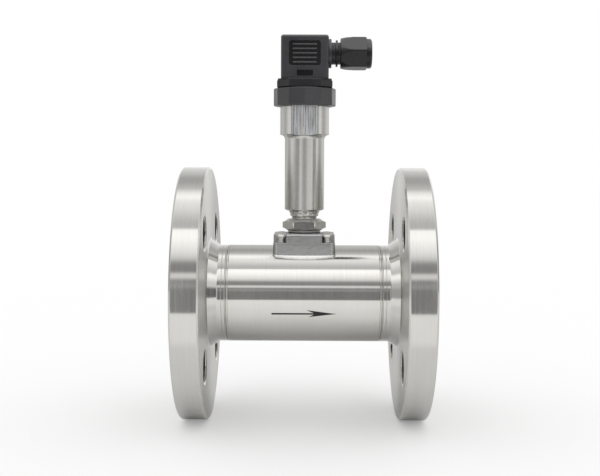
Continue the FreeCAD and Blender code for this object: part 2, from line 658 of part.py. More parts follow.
def boss_washers():
    inner = "screw_dia / 2 + slide_fit"
    body = corner_pieces("boss_lock_washers", [
        (inner, "spacer_top"), ("lock_washer_dia / 2", "spacer_top"),
        ("lock_washer_dia / 2", "screw_head_low"), (inner, "screw_head_low")])
    split = new_sketch(body, "split_outline", "XY_Plane", off="spacer_top")
    rectangle(split, "screw_place", "screw_place - lock_washer_split / 2",
              "screw_place + lock_washer_dia", "screw_place + lock_washer_split / 2")
    cut = extruded(body, "split", split, "lock_washer_thick", cut=True, flip=True)
    around(body, cut, "Z_Axis", "4")
    corner_pieces("boss_spacers", [
        (inner, "ledge_height"), ("spacer_dia / 2", "ledge_height"),
        ("spacer_dia / 2", "spacer_top"), (inner, "spacer_top")])


def seal_washer():
    body = new_body("seal_washer", x="middle")
    turned(body, "seal_washer_form", [[
        ("thread_hole", "boss_top"), ("seal_dia / 2", "boss_top"),
        ("seal_dia / 2", "nut_low"), ("thread_hole", "nut_low")]], axis="V_Axis")


# Pickup: threaded sleeve, lock nut, coil, core and magnet

def pickup_sleeve():
    body = new_body("pickup_sleeve", x="middle")
    turned(body, "sleeve_form", [[
        ("0", "sleeve_end"), ("thread_r", "sleeve_end"), ("thread_r", "neck_low"),
        ("neck_dia / 2", "stem_low"), ("stem_bore_r - slide_fit", "stem_low"),
        ("stem_bore_r - slide_fit", "plug_top"), ("sleeve_bore_r", "plug_top"),
        ("sleeve_bore_r", "sleeve_inside"), ("0", "sleeve_inside")]], axis="V_Axis")


def lock_nut():
    """A hexagon nut with one flat to the front and both faces chamfered."""
    body = new_body("lock_nut", x="middle")
    hexagon = new_sketch(body, "nut_outline", "XY_Plane", off="nut_low")
    polygon(hexagon, 6, "nut_corner")
    circle(hexagon, "thread_hole")
    extruded(body, "nut_blank", hexagon, "nut_height")
    face_r, outside = "nut_round / 2", "2 * nut_corner - nut_round / 2"
    turned(body, "nut_chamfers", [
        [(face_r, "nut_top"), (outside, "nut_top - 2 * nut_chamfer"),
         (outside, "nut_top + nut_chamfer"), (face_r, "nut_top + nut_chamfer")],
        [(face_r, "nut_low"), (face_r, "nut_low - nut_chamfer"),
         (outside, "nut_low - nut_chamfer"), (outside, "nut_low + 2 * nut_chamfer")]],
        axis="V_Axis", cut=True)


def pickup_core():
    body = new_body("pickup_core", x="middle")
    turned(body, "core_form", [[
        ("0", "sleeve_inside"), ("core_dia / 2", "sleeve_inside"),
        ("core_dia / 2", "coil_top"), ("0", "coil_top")]], axis="V_Axis")


def coil_bobbin():
    body = new_body("coil_bobbin", x="middle")
    inner = "core_dia / 2 + slide_fit"
    turned(body, "bobbin_form", [[
        (inner, "sleeve_inside"), ("bobbin_r", "sleeve_inside"),
        ("bobbin_r", "sleeve_inside + bobbin_rim"), ("spool_r", "sleeve_inside + bobbin_rim"),
        ("spool_r", "coil_top - bobbin_rim"), ("bobbin_r", "coil_top - bobbin_rim"),
        ("bobbin_r", "coil_top"), (inner, "coil_top")]], axis="V_Axis")


def pickup_coil():
    body = new_body("pickup_coil", x="middle")
    low, high = "sleeve_inside + bobbin_rim + slide_fit", "coil_top - bobbin_rim - slide_fit"
    outer = "bobbin_r - 2 * slide_fit"
    turned(body, "coil_form", [[
        ("spool_r + slide_fit", low), (outer, low), (outer, high),
        ("spool_r + slide_fit", high)]], axis="V_Axis")


def pickup_magnet():
    body = new_body("pickup_magnet", x="middle")
    turned(body, "magnet_form", [[
        ("0", "coil_top"), ("magnet_dia / 2", "coil_top"),
        ("magnet_dia / 2", "coil_top + magnet_length"), ("0", "coil_top + magnet_length")]],
        axis="V_Axis")


# Stem with the amplifier

def stem_housing():
    """A long tube that widens to a head, which has two wrench flats."""
    body = new_body("stem_housing", x="middle")
    turned(body, "stem_form", [[
        ("stem_bore_r", "stem_low"), ("stem_r", "stem_bottom"),
        ("stem_r", "shoulder_low", "shoulder_round", 1), ("head_r", "shoulder_high"), ("head_r", "head_top"),
        ("shank_r + slide_fit", "head_top"), ("shank_r + slide_fit", "shank_end"),
        ("stem_bore_r", "shank_end")]], axis="V_Axis")
    flat = new_sketch(body, "flat_outline", "XY_Plane", off="shoulder_low")
    rectangle(flat, "-head_dia", "head_flats / 2", "head_dia", "head_dia")
    first = extruded(body, "wrench_flat", flat, "head_top", cut=True, flip=True)
    around(body, first, "Z_Axis", "2")


def amplifier_board():
    body = new_body("amplifier_board", x="middle")
    board = new_sketch(body, "board_outline", "XY_Plane", off="plug_top")
    centred(board, "board_width", "board_thick")
    extruded(body, "board_form", board, "board_top - plug_top")


def board_components():
    body = new_body("board_components", x="middle")
    chip = new_sketch(body, "chip_outline", "XZ_Plane", up="plug_top + chip_start",
                      off="board_thick / 2")
    centred(chip, "chip_width", "chip_height")
    first = extruded(body, "chip", chip, "chip_thick")
    in_a_row(body, first, "Z_Axis", "chip_count", "chip_pitch")


# Coupling nut and plug base

def coupling_nut():
    """A twelve-sided nut with one corner to the front."""
    body = new_body("coupling_nut", x="middle")
    sides = new_sketch(body, "coupling_outline", "XY_Plane", off="head_top")
    polygon(sides, 12, "coupling_dia / 2")
    circle(sides, "shank_r + slide_fit")
    extruded(body, "coupling_blank", sides, "coupling_height")
    face_r, outside = "coupling_dia / 2 - coupling_edge", "coupling_dia / 2 + coupling_edge"
    turned(body, "coupling_bevels", [
        [(face_r, "coupling_top"), (outside, "coupling_top - 2 * coupling_edge"),
         (outside, "coupling_top + coupling_edge"), (face_r, "coupling_top + coupling_edge")],
        [(face_r, "head_top"), (face_r, "head_top - coupling_edge"),
         (outside, "head_top - coupling_edge"), (outside, "head_top + 2 * coupling_edge")]],
        axis="V_Axis", cut=True)


def blade_outline(sketch, spare):
    """One contact blade's section beside the plug's axis, grown by spare on all sides."""
    rectangle(sketch, "-contact_width / 2 - (%s)" % spare,
              "blade_place - contact_thick / 2 - (%s)" % spare,
              "contact_width / 2 + (%s)" % spare,
              "blade_place + contact_thick / 2 + (%s)" % spare)


def connector_base():
    """A plate with cut-off corners on a hollow shank, slotted for the contact blades."""
    body = new_body("connector_base", x="middle")
    turned(body, "shank_form", [[
        ("shank_bore / 2", "shank_end"), ("shank_r", "shank_end"), ("shank_r", "base_low"),
        ("0", "base_low"), ("0", "blind_top"), ("shank_bore / 2", "blind_top")]],
        axis="V_Axis")
    plate = new_sketch(body, "base_outline", "XY_Plane", off="base_low")
    centred(plate, "base_width", "base_width", cut="base_cut")
    extruded(body, "base_plate", plate, "base_height")
    slot = new_sketch(body, "slot_outline", "XY_Plane", off="shank_end")
    blade_outline(slot, "slide_fit")
    cut = extruded(body, "blade_slot", slot, "base_top", cut=True, flip=True)
    around(body, cut, "Z_Axis", "4")
    tapped = new_sketch(body, "base_tapped_outline", "XY_Plane", off="base_top")
    circle(tapped, "plug_screw_r + slide_fit")
    extruded(body, "base_tapped", tapped, "plug_screw_grip + slide_fit", cut=True)


def contact_blades():
    body = new_body("contact_blades", x="middle")
    section = new_sketch(body, "contact_section", "XY_Plane", off="blind_top - contact_tail")
    blade_outline(section, "0")
    length = "base_top + contact_rise - blind_top + contact_tail"
    blade = extruded(body, "contact", section, length)
    around(body, blade, "Z_Axis", "4")


def connector_gasket():
    body = new_body("connector_gasket", x="middle")
    seal = new_sketch(body, "gasket_outline", "XY_Plane", off="base_top")
    width = "base_width - 2 * gasket_inset"
    centred(seal, width, width, cut="base_cut")
    centred(seal, "gasket_window", "gasket_window")
    extruded(body, "gasket_form", seal, "gasket_thick")


# Plug housing and what it holds

def connector_shell():
    """A square housing, open below, with a recessed panel and a cable spout to the side."""
    body = new_body("connector_shell", x="middle")
    box = new_sketch(body, "shell_outline", "XY_Plane", off="shell_low")
    centred(box, "shell_width", "shell_depth", radius="shell_round")
    extruded(body, "shell_box", box, "shell_height")
    top = number("shell_top")
    rounded(body, "shell_edges", lambda edge: edge.BoundBox.ZMin > top - 0.01, "shell_round")
    axis = ("0", "gland_height", "0")
    inside = "shell_half - shell_wall"
    turned(body, "spout_form", [[
        (inside, "0"), (inside, "collar_dia / 2"), ("collar_end", "collar_dia / 2"),
        ("collar_end", "spout_r"), ("spout_end", "spout_r"), ("spout_end", "0")]], shift=axis)
    hollow = new_sketch(body, "cavity_outline", "XY_Plane", off="shell_low")
    centred(hollow, "cavity_width", "cavity_depth")
    extruded(body, "cavity", hollow, "shell_height - shell_roof", cut=True, flip=True)
    turned(body, "spout_hole", [[
        ("shell_half / 2", "0"), ("shell_half / 2", "spout_bore / 2"),
        ("seal_start", "spout_bore / 2"), ("seal_start", "seal_outer + slide_fit"),
        ("spout_end + claw_gap", "seal_outer + slide_fit"), ("spout_end + claw_gap", "0")]],
        cut=True, shift=axis)
    panel = new_sketch(body, "panel_outline", "XZ_Plane",
                       up="shell_low + panel_low + panel_height / 2", off="shell_depth / 2")
    centred(panel, "panel_width", "panel_height", radius="panel_round")
    extruded(body, "panel", panel, "panel_depth", cut=True)
    rib = new_sketch(body, "rib_outline", "XZ_Plane", off="shell_depth / 2 - panel_depth",
                     up="shell_low + panel_low + (panel_height - (rib_count - 1) * rib_pitch) / 2")
    centred(rib, "rib_length", "rib_thick")
    first = extruded(body, "rib", rib, "rib_rise")
    in_a_row(body, first, "Z_Axis", "rib_count", "rib_pitch")
    notch = new_sketch(body, "notch_outline", "XZ_Plane",
                       up="shell_low + notch_low + notch_height / 2", off="shell_depth / 2")
    centred(notch, "notch_width", "notch_height")
    extruded(body, "notch", notch, "notch_depth", cut=True)
    well = new_sketch(body, "well_outline", "XY_Plane", off="shell_top")
    circle(well, "head_well / 2")
    extruded(body, "well", well, "well_depth", cut=True)
    through = new_sketch(body, "screw_hole_outline", "XY_Plane", off="shell_top")
    circle(through, "plug_screw_r + block_gap")
    extruded(body, "screw_hole", through, "shell_roof + well_depth", cut=True)


def terminal_block():
    """The plug's inner carrier, with a slot over each contact blade and a hole for the screw."""
    body = new_body("terminal_block", x="middle")
    block = new_sketch(body, "terminal_outline", "XY_Plane", off="shell_low")
    centred(block, "block_width", "block_depth")
    circle(block, "plug_screw_r + block_gap")
    extruded(body, "terminal_form", block, "block_height")
    slot = new_sketch(body, "terminal_slot_outline", "XY_Plane", off="shell_low")
    blade_outline(slot, "block_gap")
    first = extruded(body, "terminal_slot", slot, "contact_rise", cut=True, flip=True)
    around(body, first, "Z_Axis", "4")
    clamp = new_sketch(body, "clamp_hole_outline", "XY_Plane", off="block_top")
    circle(clamp, "clamp_dia / 2 + slide_fit", "blade_place", "blade_place")
    hole = extruded(body, "clamp_hole", clamp, "clamp_length - slide_fit", cut=True)
    around(body, hole, "Z_Axis", "4")


def terminal_screws():
    body = new_body("terminal_screws", x="middle")
    top = "block_top + slide_fit"
    low = "block_top - clamp_length + slide_fit"
    screw = turned(body, "clamp_form", [[
        ("0", low), ("clamp_dia / 2", low), ("clamp_dia / 2", top), ("socket_dia / 2", top),
        ("socket_dia / 2", top + " - socket_depth"), ("0", top + " - socket_depth")]],
        axis="V_Axis", shift=("blade_place", "0", "-blade_place"))
    around(body, screw, "Z_Axis", "4")


def connector_screw():
    body = new_body("connector_screw", x="middle")
    seat = "well_floor + screw_seal_thick"
    top = seat + " + plug_head_height"
    turned(body, "plug_screw_form", [[
        ("0", "base_top - plug_screw_grip"), ("plug_screw_r", "base_top - plug_screw_grip"),
        ("plug_screw_r", seat), ("plug_head_dia / 2", seat), ("plug_head_dia / 2", top),
        ("socket_dia / 2", top), ("socket_dia / 2", top + " - socket_depth"),
        ("0", top + " - socket_depth")]], axis="V_Axis")


def screw_seal():
    body = new_body("screw_seal", x="middle")
    high = "well_floor + screw_seal_thick"
    turned(body, "screw_seal_form", [[
        ("plug_screw_r + slide_fit", "well_floor"), ("plug_head_dia / 2", "well_floor"),
        ("plug_head_dia / 2", high), ("plug_screw_r + slide_fit", high)]], axis="V_Axis")


# Cable gland, turned round the spout's axis

def gland_slip_ring():
    body = new_body("gland_slip_ring", x="middle", z="gland_height")
    end = "slip_ring_start + slip_ring_thick"
    turned(body, "slip_ring_form", [[
        ("slip_ring_start", "spout_r + slide_fit"), ("slip_ring_start", "slip_ring_dia / 2"),
        (end, "slip_ring_dia / 2"), (end, "spout_r + slide_fit")]])


def gland_seal():
    body = new_body("gland_seal", x="middle", z="gland_height")
    turned(body, "gland_seal_form", [[
        ("seal_start", "seal_inner"), ("seal_start", "seal_outer"),
        ("spout_end", "seal_outer"), ("spout_end", "seal_inner")]])


def gland_claw():
    body = new_body("gland_claw", x="middle", z="gland_height")
    turned(body, "claw_form", [[
        ("claw_start", "claw_bore / 2"), ("claw_start", "claw_foot / 2"),
        ("claw_end", "claw_tip / 2"), ("claw_end", "claw_bore / 2")]])


def gland_nut():
    """A hexagon cap with a rounded end, its corners turned off towards the open end."""
    tilt = FreeCAD.Rotation(ALONG_X, -number("cap_tilt"))
    body = new_body("gland_nut", x="middle", z="gland_height", turn=tilt)
    hexagon = new_sketch(body, "cap_outline", "YZ_Plane", off="cap_low")
    polygon(hexagon, 6, "cap_corner")
    extruded(body, "cap_blank", hexagon, "cap_hex")
    outside = "2 * cap_corner"
    slope_end = "cap_low + cap_turned"
    turned(body, "cap_corners", [[
        ("cap_low", "cap_foot / 2"), (slope_end, "cap_corner"), (slope_end, outside),
        ("cap_low", outside)]], cut=True)
    turned(body, "cap_end", [[
        ("cap_shoulder", "0"), ("cap_shoulder", "cap_end_dia / 2"),
        ("cap_tip - cap_bevel", "cap_end_dia / 2"),
        ("cap_tip", "cap_end_dia / 2 - cap_bevel"), ("cap_tip", "0")]])
    turned(body, "cap_inside", [[
        ("cap_low", "0"), ("cap_low", "cap_thread"), ("claw_start", "cap_thread"),
        ("claw_end + nut_clearance", "claw_tip / 2 + nut_clearance"),
        ("claw_end + nut_clearance", "cap_mouth / 2"), ("cap_tip", "cap_mouth / 2"),
        ("cap_tip", "0")]], cut=True)


# Making, checking and writing

def make():
    write_sheet()
    for label, at_outlet in (("inlet", False), ("outlet", True)):
        pipe_flange(label + "_flange", at_outlet)
        straightener(label + "_straightener", at_outlet)
        retaining_ring(label + "_retaining_ring", at_outlet)
        bearing_bush(label + "_bush", at_outlet)
    for piece in (body_tube, rotor, rotor_shaft, thrust_washers, sensor_boss, boss_screws,
                  boss_washers, seal_washer, pickup_sleeve, lock_nut, pickup_core, coil_bobbin,
                  pickup_coil, pickup_magnet, stem_housing, amplifier_board, board_components,
                  coupling_nut, connector_base, contact_blades, connector_gasket,
                  connector_shell, terminal_block, terminal_screws, connector_screw,
                  screw_seal, gland_slip_ring, gland_seal, gland_claw, gland_nut):
        piece()
    doc.recompute()


def check():
    for item in doc.Objects:
        if "Invalid" in item.State or "Error" in item.State:
            raise RuntimeError("%s failed: %s" % (item.Name, item.State))
    for body in bodies:
        if body.Shape.isNull() or not body.Shape.isValid() or not body.Shape.Solids:
            raise RuntimeError(body.Label + " has no valid shape")


def write():
    os.makedirs("parts", exist_ok=True)
    for body in bodies:
        body.Shape.exportStep("parts/%s.step" % body.Label)


make()
check()
write()
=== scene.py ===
import json
import math

import bmesh
import bpy
from mathutils import Matrix, Vector


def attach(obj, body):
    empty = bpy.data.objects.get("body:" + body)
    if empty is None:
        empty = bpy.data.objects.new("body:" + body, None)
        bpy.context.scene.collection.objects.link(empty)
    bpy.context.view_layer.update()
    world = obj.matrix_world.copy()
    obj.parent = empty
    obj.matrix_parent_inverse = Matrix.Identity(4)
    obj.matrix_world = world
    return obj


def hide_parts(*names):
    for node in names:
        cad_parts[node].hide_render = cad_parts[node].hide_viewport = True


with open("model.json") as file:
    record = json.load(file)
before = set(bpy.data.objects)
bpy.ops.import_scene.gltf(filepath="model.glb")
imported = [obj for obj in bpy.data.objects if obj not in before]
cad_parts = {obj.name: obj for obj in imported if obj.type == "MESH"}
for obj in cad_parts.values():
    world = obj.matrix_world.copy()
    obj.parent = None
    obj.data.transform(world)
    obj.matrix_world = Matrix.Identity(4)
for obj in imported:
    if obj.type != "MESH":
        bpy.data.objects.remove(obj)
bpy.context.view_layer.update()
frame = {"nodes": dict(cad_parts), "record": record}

NODES = frame["nodes"]
SLOT = {m["node"]: m["material_slot"] for m in frame["record"]["subparts"]}
scene = bpy.context.scene

MM = 0.001
LENGTH = 140  # from one sealing face to the other
MIDDLE = 70  # the stem's place along the pipe
PIPE_RADIUS = 26.75
PIPE_BORE = 16
SEAM_RADIUS, SWELL_RADIUS, WELD_RADIUS = 26.66, 26.77, 26.4  # the fine grooves, their lips, the joined edges
BOLT_AT = 35.355  # the bolt holes' centres, from the pipe's axis both ways
SLEEVE_BORE = 7.05  # radius of the hole that the pickup's sleeve sits in
BLOCK_HALF = 16.8  # half of the sensor block's width
CORNER_AT = 12.7  # the corner screws' centres, from the stem's axis both ways
OUTLET_Z = 132.7  # height of the cable outlet's axis
# Lines that forms are turned about: a point and a direction.
PIPE_LINE = ((0, 0, 0), "X")
STEM_LINE = ((MIDDLE, 0, 0), "Z")
OUTLET_LINE = ((0, 0, OUTLET_Z), "X")


# ---------------------------------------------------------------- shader nodes
class Web:
    """Adds shader nodes to one tree and joins them."""

    def __init__(self, owner):
        owner.use_nodes = True
        self.tree = owner.node_tree
        self.tree.nodes.clear()

    def put(self, kind, inputs=None, **settings):
        """Adds a node; an input is named or numbered, and gets a value or a link."""
        made = self.tree.nodes.new("ShaderNode" + kind)
        for key, value in settings.items():
            setattr(made, key, value)
        for key, value in (inputs or {}).items():
            if isinstance(value, bpy.types.NodeSocket):
                self.tree.links.new(value, made.inputs[key])
            else:
                made.inputs[key].default_value = value
        return made

    def maths(self, operation, *values, clamp=False):
        return self.put("Math", dict(enumerate(values)), operation=operation, use_clamp=clamp).outputs[0]

    def vector(self, operation, *values):
        made = self.put("VectorMath", dict(enumerate(values)), operation=operation)
        return made.outputs["Value" if operation in ("LENGTH", "DOT_PRODUCT") else "Vector"]

    def split(self, vector):
        return self.put("SeparateXYZ", {0: vector}).outputs

    def join(self, x, y, z):
        return self.put("CombineXYZ", {0: x, 1: y, 2: z}).outputs[0]

    def noise(self, vector, scale, detail=3.0, rough=0.55):
        made = self.put("TexNoise", {"Vector": vector, "Scale": scale, "Detail": detail, "Roughness": rough})
        return made.outputs["Fac"]

    def span(self, value, low, high, start=0.0, end=1.0):
        """Maps low..high to start..end and holds it there beyond."""
        return self.put("MapRange", {0: value, 1: low, 2: high, 3: start, 4: end}).outputs[0]

    def sway(self, noise, amount):
        """Turns a noise into a change of up to amount both ways."""
        return self.span(noise, 0.3, 0.7, -amount, amount)

    def ramp(self, value, stops):
        made = self.put("ValToRGB", {0: value})
        line = made.color_ramp
        while len(line.elements) > 1:
            line.elements.remove(line.elements[0])
        line.elements[0].position, line.elements[0].color = stops[0]
        for place, colour in stops[1:]:
            line.elements.new(place).color = colour
        return made.outputs[0]

    def blend(self, factor, a, b):
        """Mixes two colours, which a Mix node takes at its inputs 6 and 7."""
        return self.put("Mix", {0: factor, 6: a, 7: b}, data_type="RGBA").outputs[2]

    def object_place(self):
        return self.put("TexCoord").outputs["Object"]

    def geometry(self, name):
        return self.put("NewGeometry").outputs[name]

    def facing(self, direction):
        """How squarely a face looks along an axis, either way."""
        return self.maths("ABSOLUTE", self.split(self.geometry("True Normal"))[direction])

    def principled(self, inputs):
        """Ends a material's tree with a shader."""
        self.put("OutputMaterial", {"Surface": self.put("BsdfPrincipled", inputs).outputs[0]})


def grey(level, warm=0.0):
    """A grey, made a little warmer by adding red and taking blue away."""
    return (level * (1 + 0.3 * warm), level, level * (1 - warm), 1.0)


# ---------------------------------------------------------------- camera
CAMERA_AT = (0.0711975, -0.575342, 0.0677203)
YAW, PITCH, ROLL = -0.0061, 0.0642, 0.0041
ahead = Vector((math.sin(YAW) * math.cos(PITCH), math.cos(YAW) * math.cos(PITCH), -math.sin(PITCH)))
level = Vector((math.cos(YAW), -math.sin(YAW), 0))
upward = level.cross(ahead)
right = level * math.cos(ROLL) + upward * math.sin(ROLL)
top = upward * math.cos(ROLL) - level * math.sin(ROLL)
camera = bpy.data.objects.new("camera", bpy.data.cameras.new("camera"))
scene.collection.objects.link(camera)
turned = Matrix((right, top, -ahead)).transposed().to_4x4()
camera.matrix_world = Matrix.Translation(CAMERA_AT) @ turned
camera.data.lens = 62.007
camera.data.sensor_width = 36
camera.data.sensor_fit = "HORIZONTAL"
camera.data.clip_start = 0.01
scene.camera = camera
scene.view_settings.view_transform = "Standard"

# ---------------------------------------------------------------- studio
# The light that metal mirrors, by the angle about the pipe's axis: 0 is the viewer's side, 90 overhead.
BANDS = (
    (-12, 0.20), (-10, 0.18), (9, 0.18), (11, 0.32), (13, 0.32), (15, 0.24), (17, 0.24), (19.6, 0.95),
    (22.2, 0.95), (24.5, 0.27), (32, 0.34), (36.5, 0.80), (41, 1.02), (45, 1.14), (50, 1.27), (55, 1.40),
    (63.6, 1.44), (64.6, 0.62), (72, 0.66), (85, 0.98), (95, 1.16), (101, 1.42), (107, 1.18), (113, 0.72),
    (124, 0.52), (132, 0.52), (142, 0.72), (160, 0.98), (180, 1.0),
)
# The same for light that comes from low down, by the angle about the upright: 0 is the viewer's side.
SIDES = (
    (-180, 0.80), (-125, 0.75), (-106, 0.40), (-95, 0.48), (-80, 0.82), (-66, 0.78), (-58, 0.64),
    (-50, 0.34), (-45, 0.26), (-36, 0.25), (-27, 0.62), (-20, 0.76), (12, 0.64), (23, 0.66), (38, 0.72),
    (50, 0.84), (54.5, 0.84), (57, 0.92), (62, 0.92), (70, 0.90), (78, 0.86), (86, 0.70), (92, 0.44),
    (106, 0.38), (125, 0.85), (150, 1.2), (180, 1.1),
)
BRIGHT = 1.5  # no level above is stronger; the ramps hold shares of it


def tones(w, angle, first, last, levels):
    """Grey levels along an angle that runs from first to last, in degrees."""
    place = w.span(angle, math.radians(first), math.radians(last))
    return w.ramp(place, [((a - first) / (last - first), grey(v / BRIGHT)) for a, v in levels])


world = bpy.data.worlds.new("studio")
scene.world = world
w = Web(world)
toward = w.split(w.put("TexCoord").outputs["Generated"])
to_viewer = w.maths("MULTIPLY", toward["Y"], -1.0)
bands = tones(w, w.maths("ARCTAN2", toward["Z"], to_viewer), -20, 180, BANDS)
aside = w.maths("ARCTAN2", toward["X"], to_viewer)
sides = tones(w, aside, -180, 180, SIDES)
steep = w.maths("ABSOLUTE", toward["Z"])
# Two dark flags stand at 60 degrees to either side, at the height of the pipe, the right one stronger.
far_aside = w.maths("ABSOLUTE", aside)
off_flag = w.maths("ABSOLUTE", w.maths("SUBTRACT", far_aside, math.radians(60)))
flag = w.maths("MULTIPLY", w.span(off_flag, math.radians(9), math.radians(13), 1.0, 0.0),
               w.span(steep, 0.16, 0.24, 0.7, 0.0))
flag = w.maths("MULTIPLY", flag, w.span(aside, -0.1, 0.1, 0.4, 1.2))
sides = w.blend(flag, sides, grey(0.0))
# The sides take the bands' place low down, except straight at the viewer.
by_side = w.maths("MULTIPLY", w.span(steep, 0.26, 0.46, 1.0, 0.0),
                  w.span(far_aside, math.radians(9), math.radians(11.5)))
mirrored = w.put("Background", {"Color": w.blend(by_side, bands, sides), "Strength": BRIGHT})
above = w.span(toward["Z"], 0.0, 1.0, 0.72, 1.22)
soft = w.put("Background", {"Color": w.join(above, above, above), "Strength": 1.0})
white = w.put("Background", {"Color": grey(1.0), "Strength": 1.0})
# The camera, clear parts and mirrors that look straight back see the white backdrop.
ray = w.put("LightPath").outputs
backdrop = w.maths("MAXIMUM", w.maths("ADD", ray["Is Camera Ray"], ray["Is Transmission Ray"], clamp=True),
                   w.maths("MULTIPLY", ray["Is Glossy Ray"], w.span(toward["Y"], 0.90, 0.97)))
lit = w.put("MixShader", {0: ray["Is Glossy Ray"], 1: soft.outputs[0], 2: mirrored.outputs[0]})
seen = w.put("MixShader", {0: backdrop, 1: lit.outputs[0], 2: white.outputs[0]})
w.put("OutputWorld", {"Surface": seen.outputs[0]})
world.cycles.sampling_method = "NONE"

# The floor is white to the camera. Mirrors see it glow only in front, and near the object less at the
# sides; elsewhere they see its shade.
FLOOR_Z, FLOOR_FRONT, FLOOR_BACK, FLOOR_SIDE = -0.07, -0.40, 9, 8
floor_mesh = bpy.data.meshes.new("floor")
floor_mesh.from_pydata([(-FLOOR_SIDE, FLOOR_FRONT, FLOOR_Z), (FLOOR_SIDE, FLOOR_FRONT, FLOOR_Z),
                        (FLOOR_SIDE, FLOOR_BACK, FLOOR_Z), (-FLOOR_SIDE, FLOOR_BACK, FLOOR_Z)],
                       [], [(0, 1, 2, 3)])
floor = bpy.data.objects.new("floor", floor_mesh)
scene.collection.objects.link(floor)
paper = bpy.data.materials.new("paper")
w = Web(paper)
ray = w.put("LightPath").outputs
spot = w.split(w.geometry("Position"))
off_middle = w.maths("ABSOLUTE", w.maths("SUBTRACT", spot["X"], MIDDLE * MM))
under = w.maths("MULTIPLY", w.span(spot["Y"], -0.065, 0.01, 1.0, 0.0),
                w.span(off_middle, 0.045, 0.06, 1.0, 0.45))
near = w.maths("MAXIMUM", under, w.span(spot["Y"], -0.14, -0.10, 1.0, 0.0))
glowing = w.maths("ADD", ray["Is Camera Ray"], w.maths("MULTIPLY", ray["Is Glossy Ray"], near))
glowing = w.maths("ADD", glowing, ray["Is Transmission Ray"], clamp=True)
matt = w.put("BsdfDiffuse", {"Color": grey(0.70)})
glow = w.put("Emission", {"Color": grey(1.0), "Strength": w.maths("MULTIPLY", glowing, 0.26)})
both = w.put("AddShader", {0: matt.outputs[0], 1: glow.outputs[0]})
w.put("OutputMaterial", {"Surface": both.outputs[0]})
floor_mesh.materials.append(paper)

# ---------------------------------------------------------------- materials
X_AXIS, Z_AXIS = (1.0, 0.0, 0.0), (0.0, 0.0, 1.0)
CENTRE = (MIDDLE * MM, 0.0, 0.0)  # where the pipe's and the stem's axes meet
WARM = 0.045  # the usual warmth of the steels
BUMP_DEPTH = 0.0002


def finish(name):
    made = bpy.data.materials.new(name)
    return made, Web(made)


def toned(w, tint, shade, warm):
    """A tint, which is a grey level or a colour, made darker and lighter by a shade of -1 to 1."""
    def scaled(share):
        if isinstance(tint, float):
            return grey(min(1.0, tint * share), warm)
        return tuple(min(1.0, part * share) for part in tint) + (1.0,)
    factor = w.maths("ADD", w.maths("MULTIPLY", shade, 0.5), 0.5, clamp=True)
    return w.blend(factor, scaled(0.55), scaled(1.45))


def bolt_holes(w, here, colour, rough):
    """Paints shade into the flanges' bolt holes, making them dark and dull, and makes their flat faces
    duller than their rims.
    """
    parts = w.split(w.vector("SUBTRACT", w.vector("ABSOLUTE", here), (0.0, BOLT_AT * MM, BOLT_AT * MM)))
    from_hole = w.vector("LENGTH", w.join(0.0, parts["Y"], parts["Z"]))
    inside = w.span(from_hole, 0.00903, 0.00912, 1.0, 0.0)
    rough = w.maths("ADD", rough, w.maths("MULTIPLY", inside, 0.25))
    rough = w.maths("ADD", rough, w.span(w.facing("X"), 0.90, 0.99, 0.0, 0.22))
    # Painted shade: the walls of the bolt holes turn near black.
    return w.blend(inside, colour, grey(0.035)), rough


def stem_marks(w, here, off, colour, rough, lift):
    """Adds the stem's dull upright lines and, on its two flats, painted bluish reflections in streaks and
    gentle waves.
    """
    parts = w.split(w.vector("ABSOLUTE", off))
    dull = w.span(w.maths("MINIMUM", parts["X"], parts["Y"]), 0.0006, 0.0026, 0.34, 0.0)
    dull = w.maths("MULTIPLY", dull, w.span(parts["Z"], 0.0855, 0.0865, 1.0, 0.0))
    rough = w.maths("ADD", rough, dull)
    flat = w.maths("MULTIPLY", w.span(parts["X"], 0.0069, 0.0072, 1.0, 0.0),
                   w.span(parts["Z"], 0.0871, 0.0875, 0.0, 1.0))
    # Painted reflection: bluish streaks on the flats stand for what the flats mirror.
    reflection_streaks = w.span(w.noise(w.vector("MULTIPLY", here, (700.0, 700.0, 20.0)), 1.0), 0.4, 0.6)
    colour = w.blend(w.maths("MULTIPLY", flat, reflection_streaks), colour, (0.60, 0.625, 0.66, 1.0))
    swell = w.noise(w.vector("MULTIPLY", here, (270.0, 270.0, 10.0)), 1.0, 3.0, 0.55)
    waves = w.put("Bump", {"Height": w.maths("MULTIPLY", swell, flat), "Strength": 1.0,
                           "Distance": 0.0012, "Normal": lift.outputs[0]})
    return colour, rough, waves


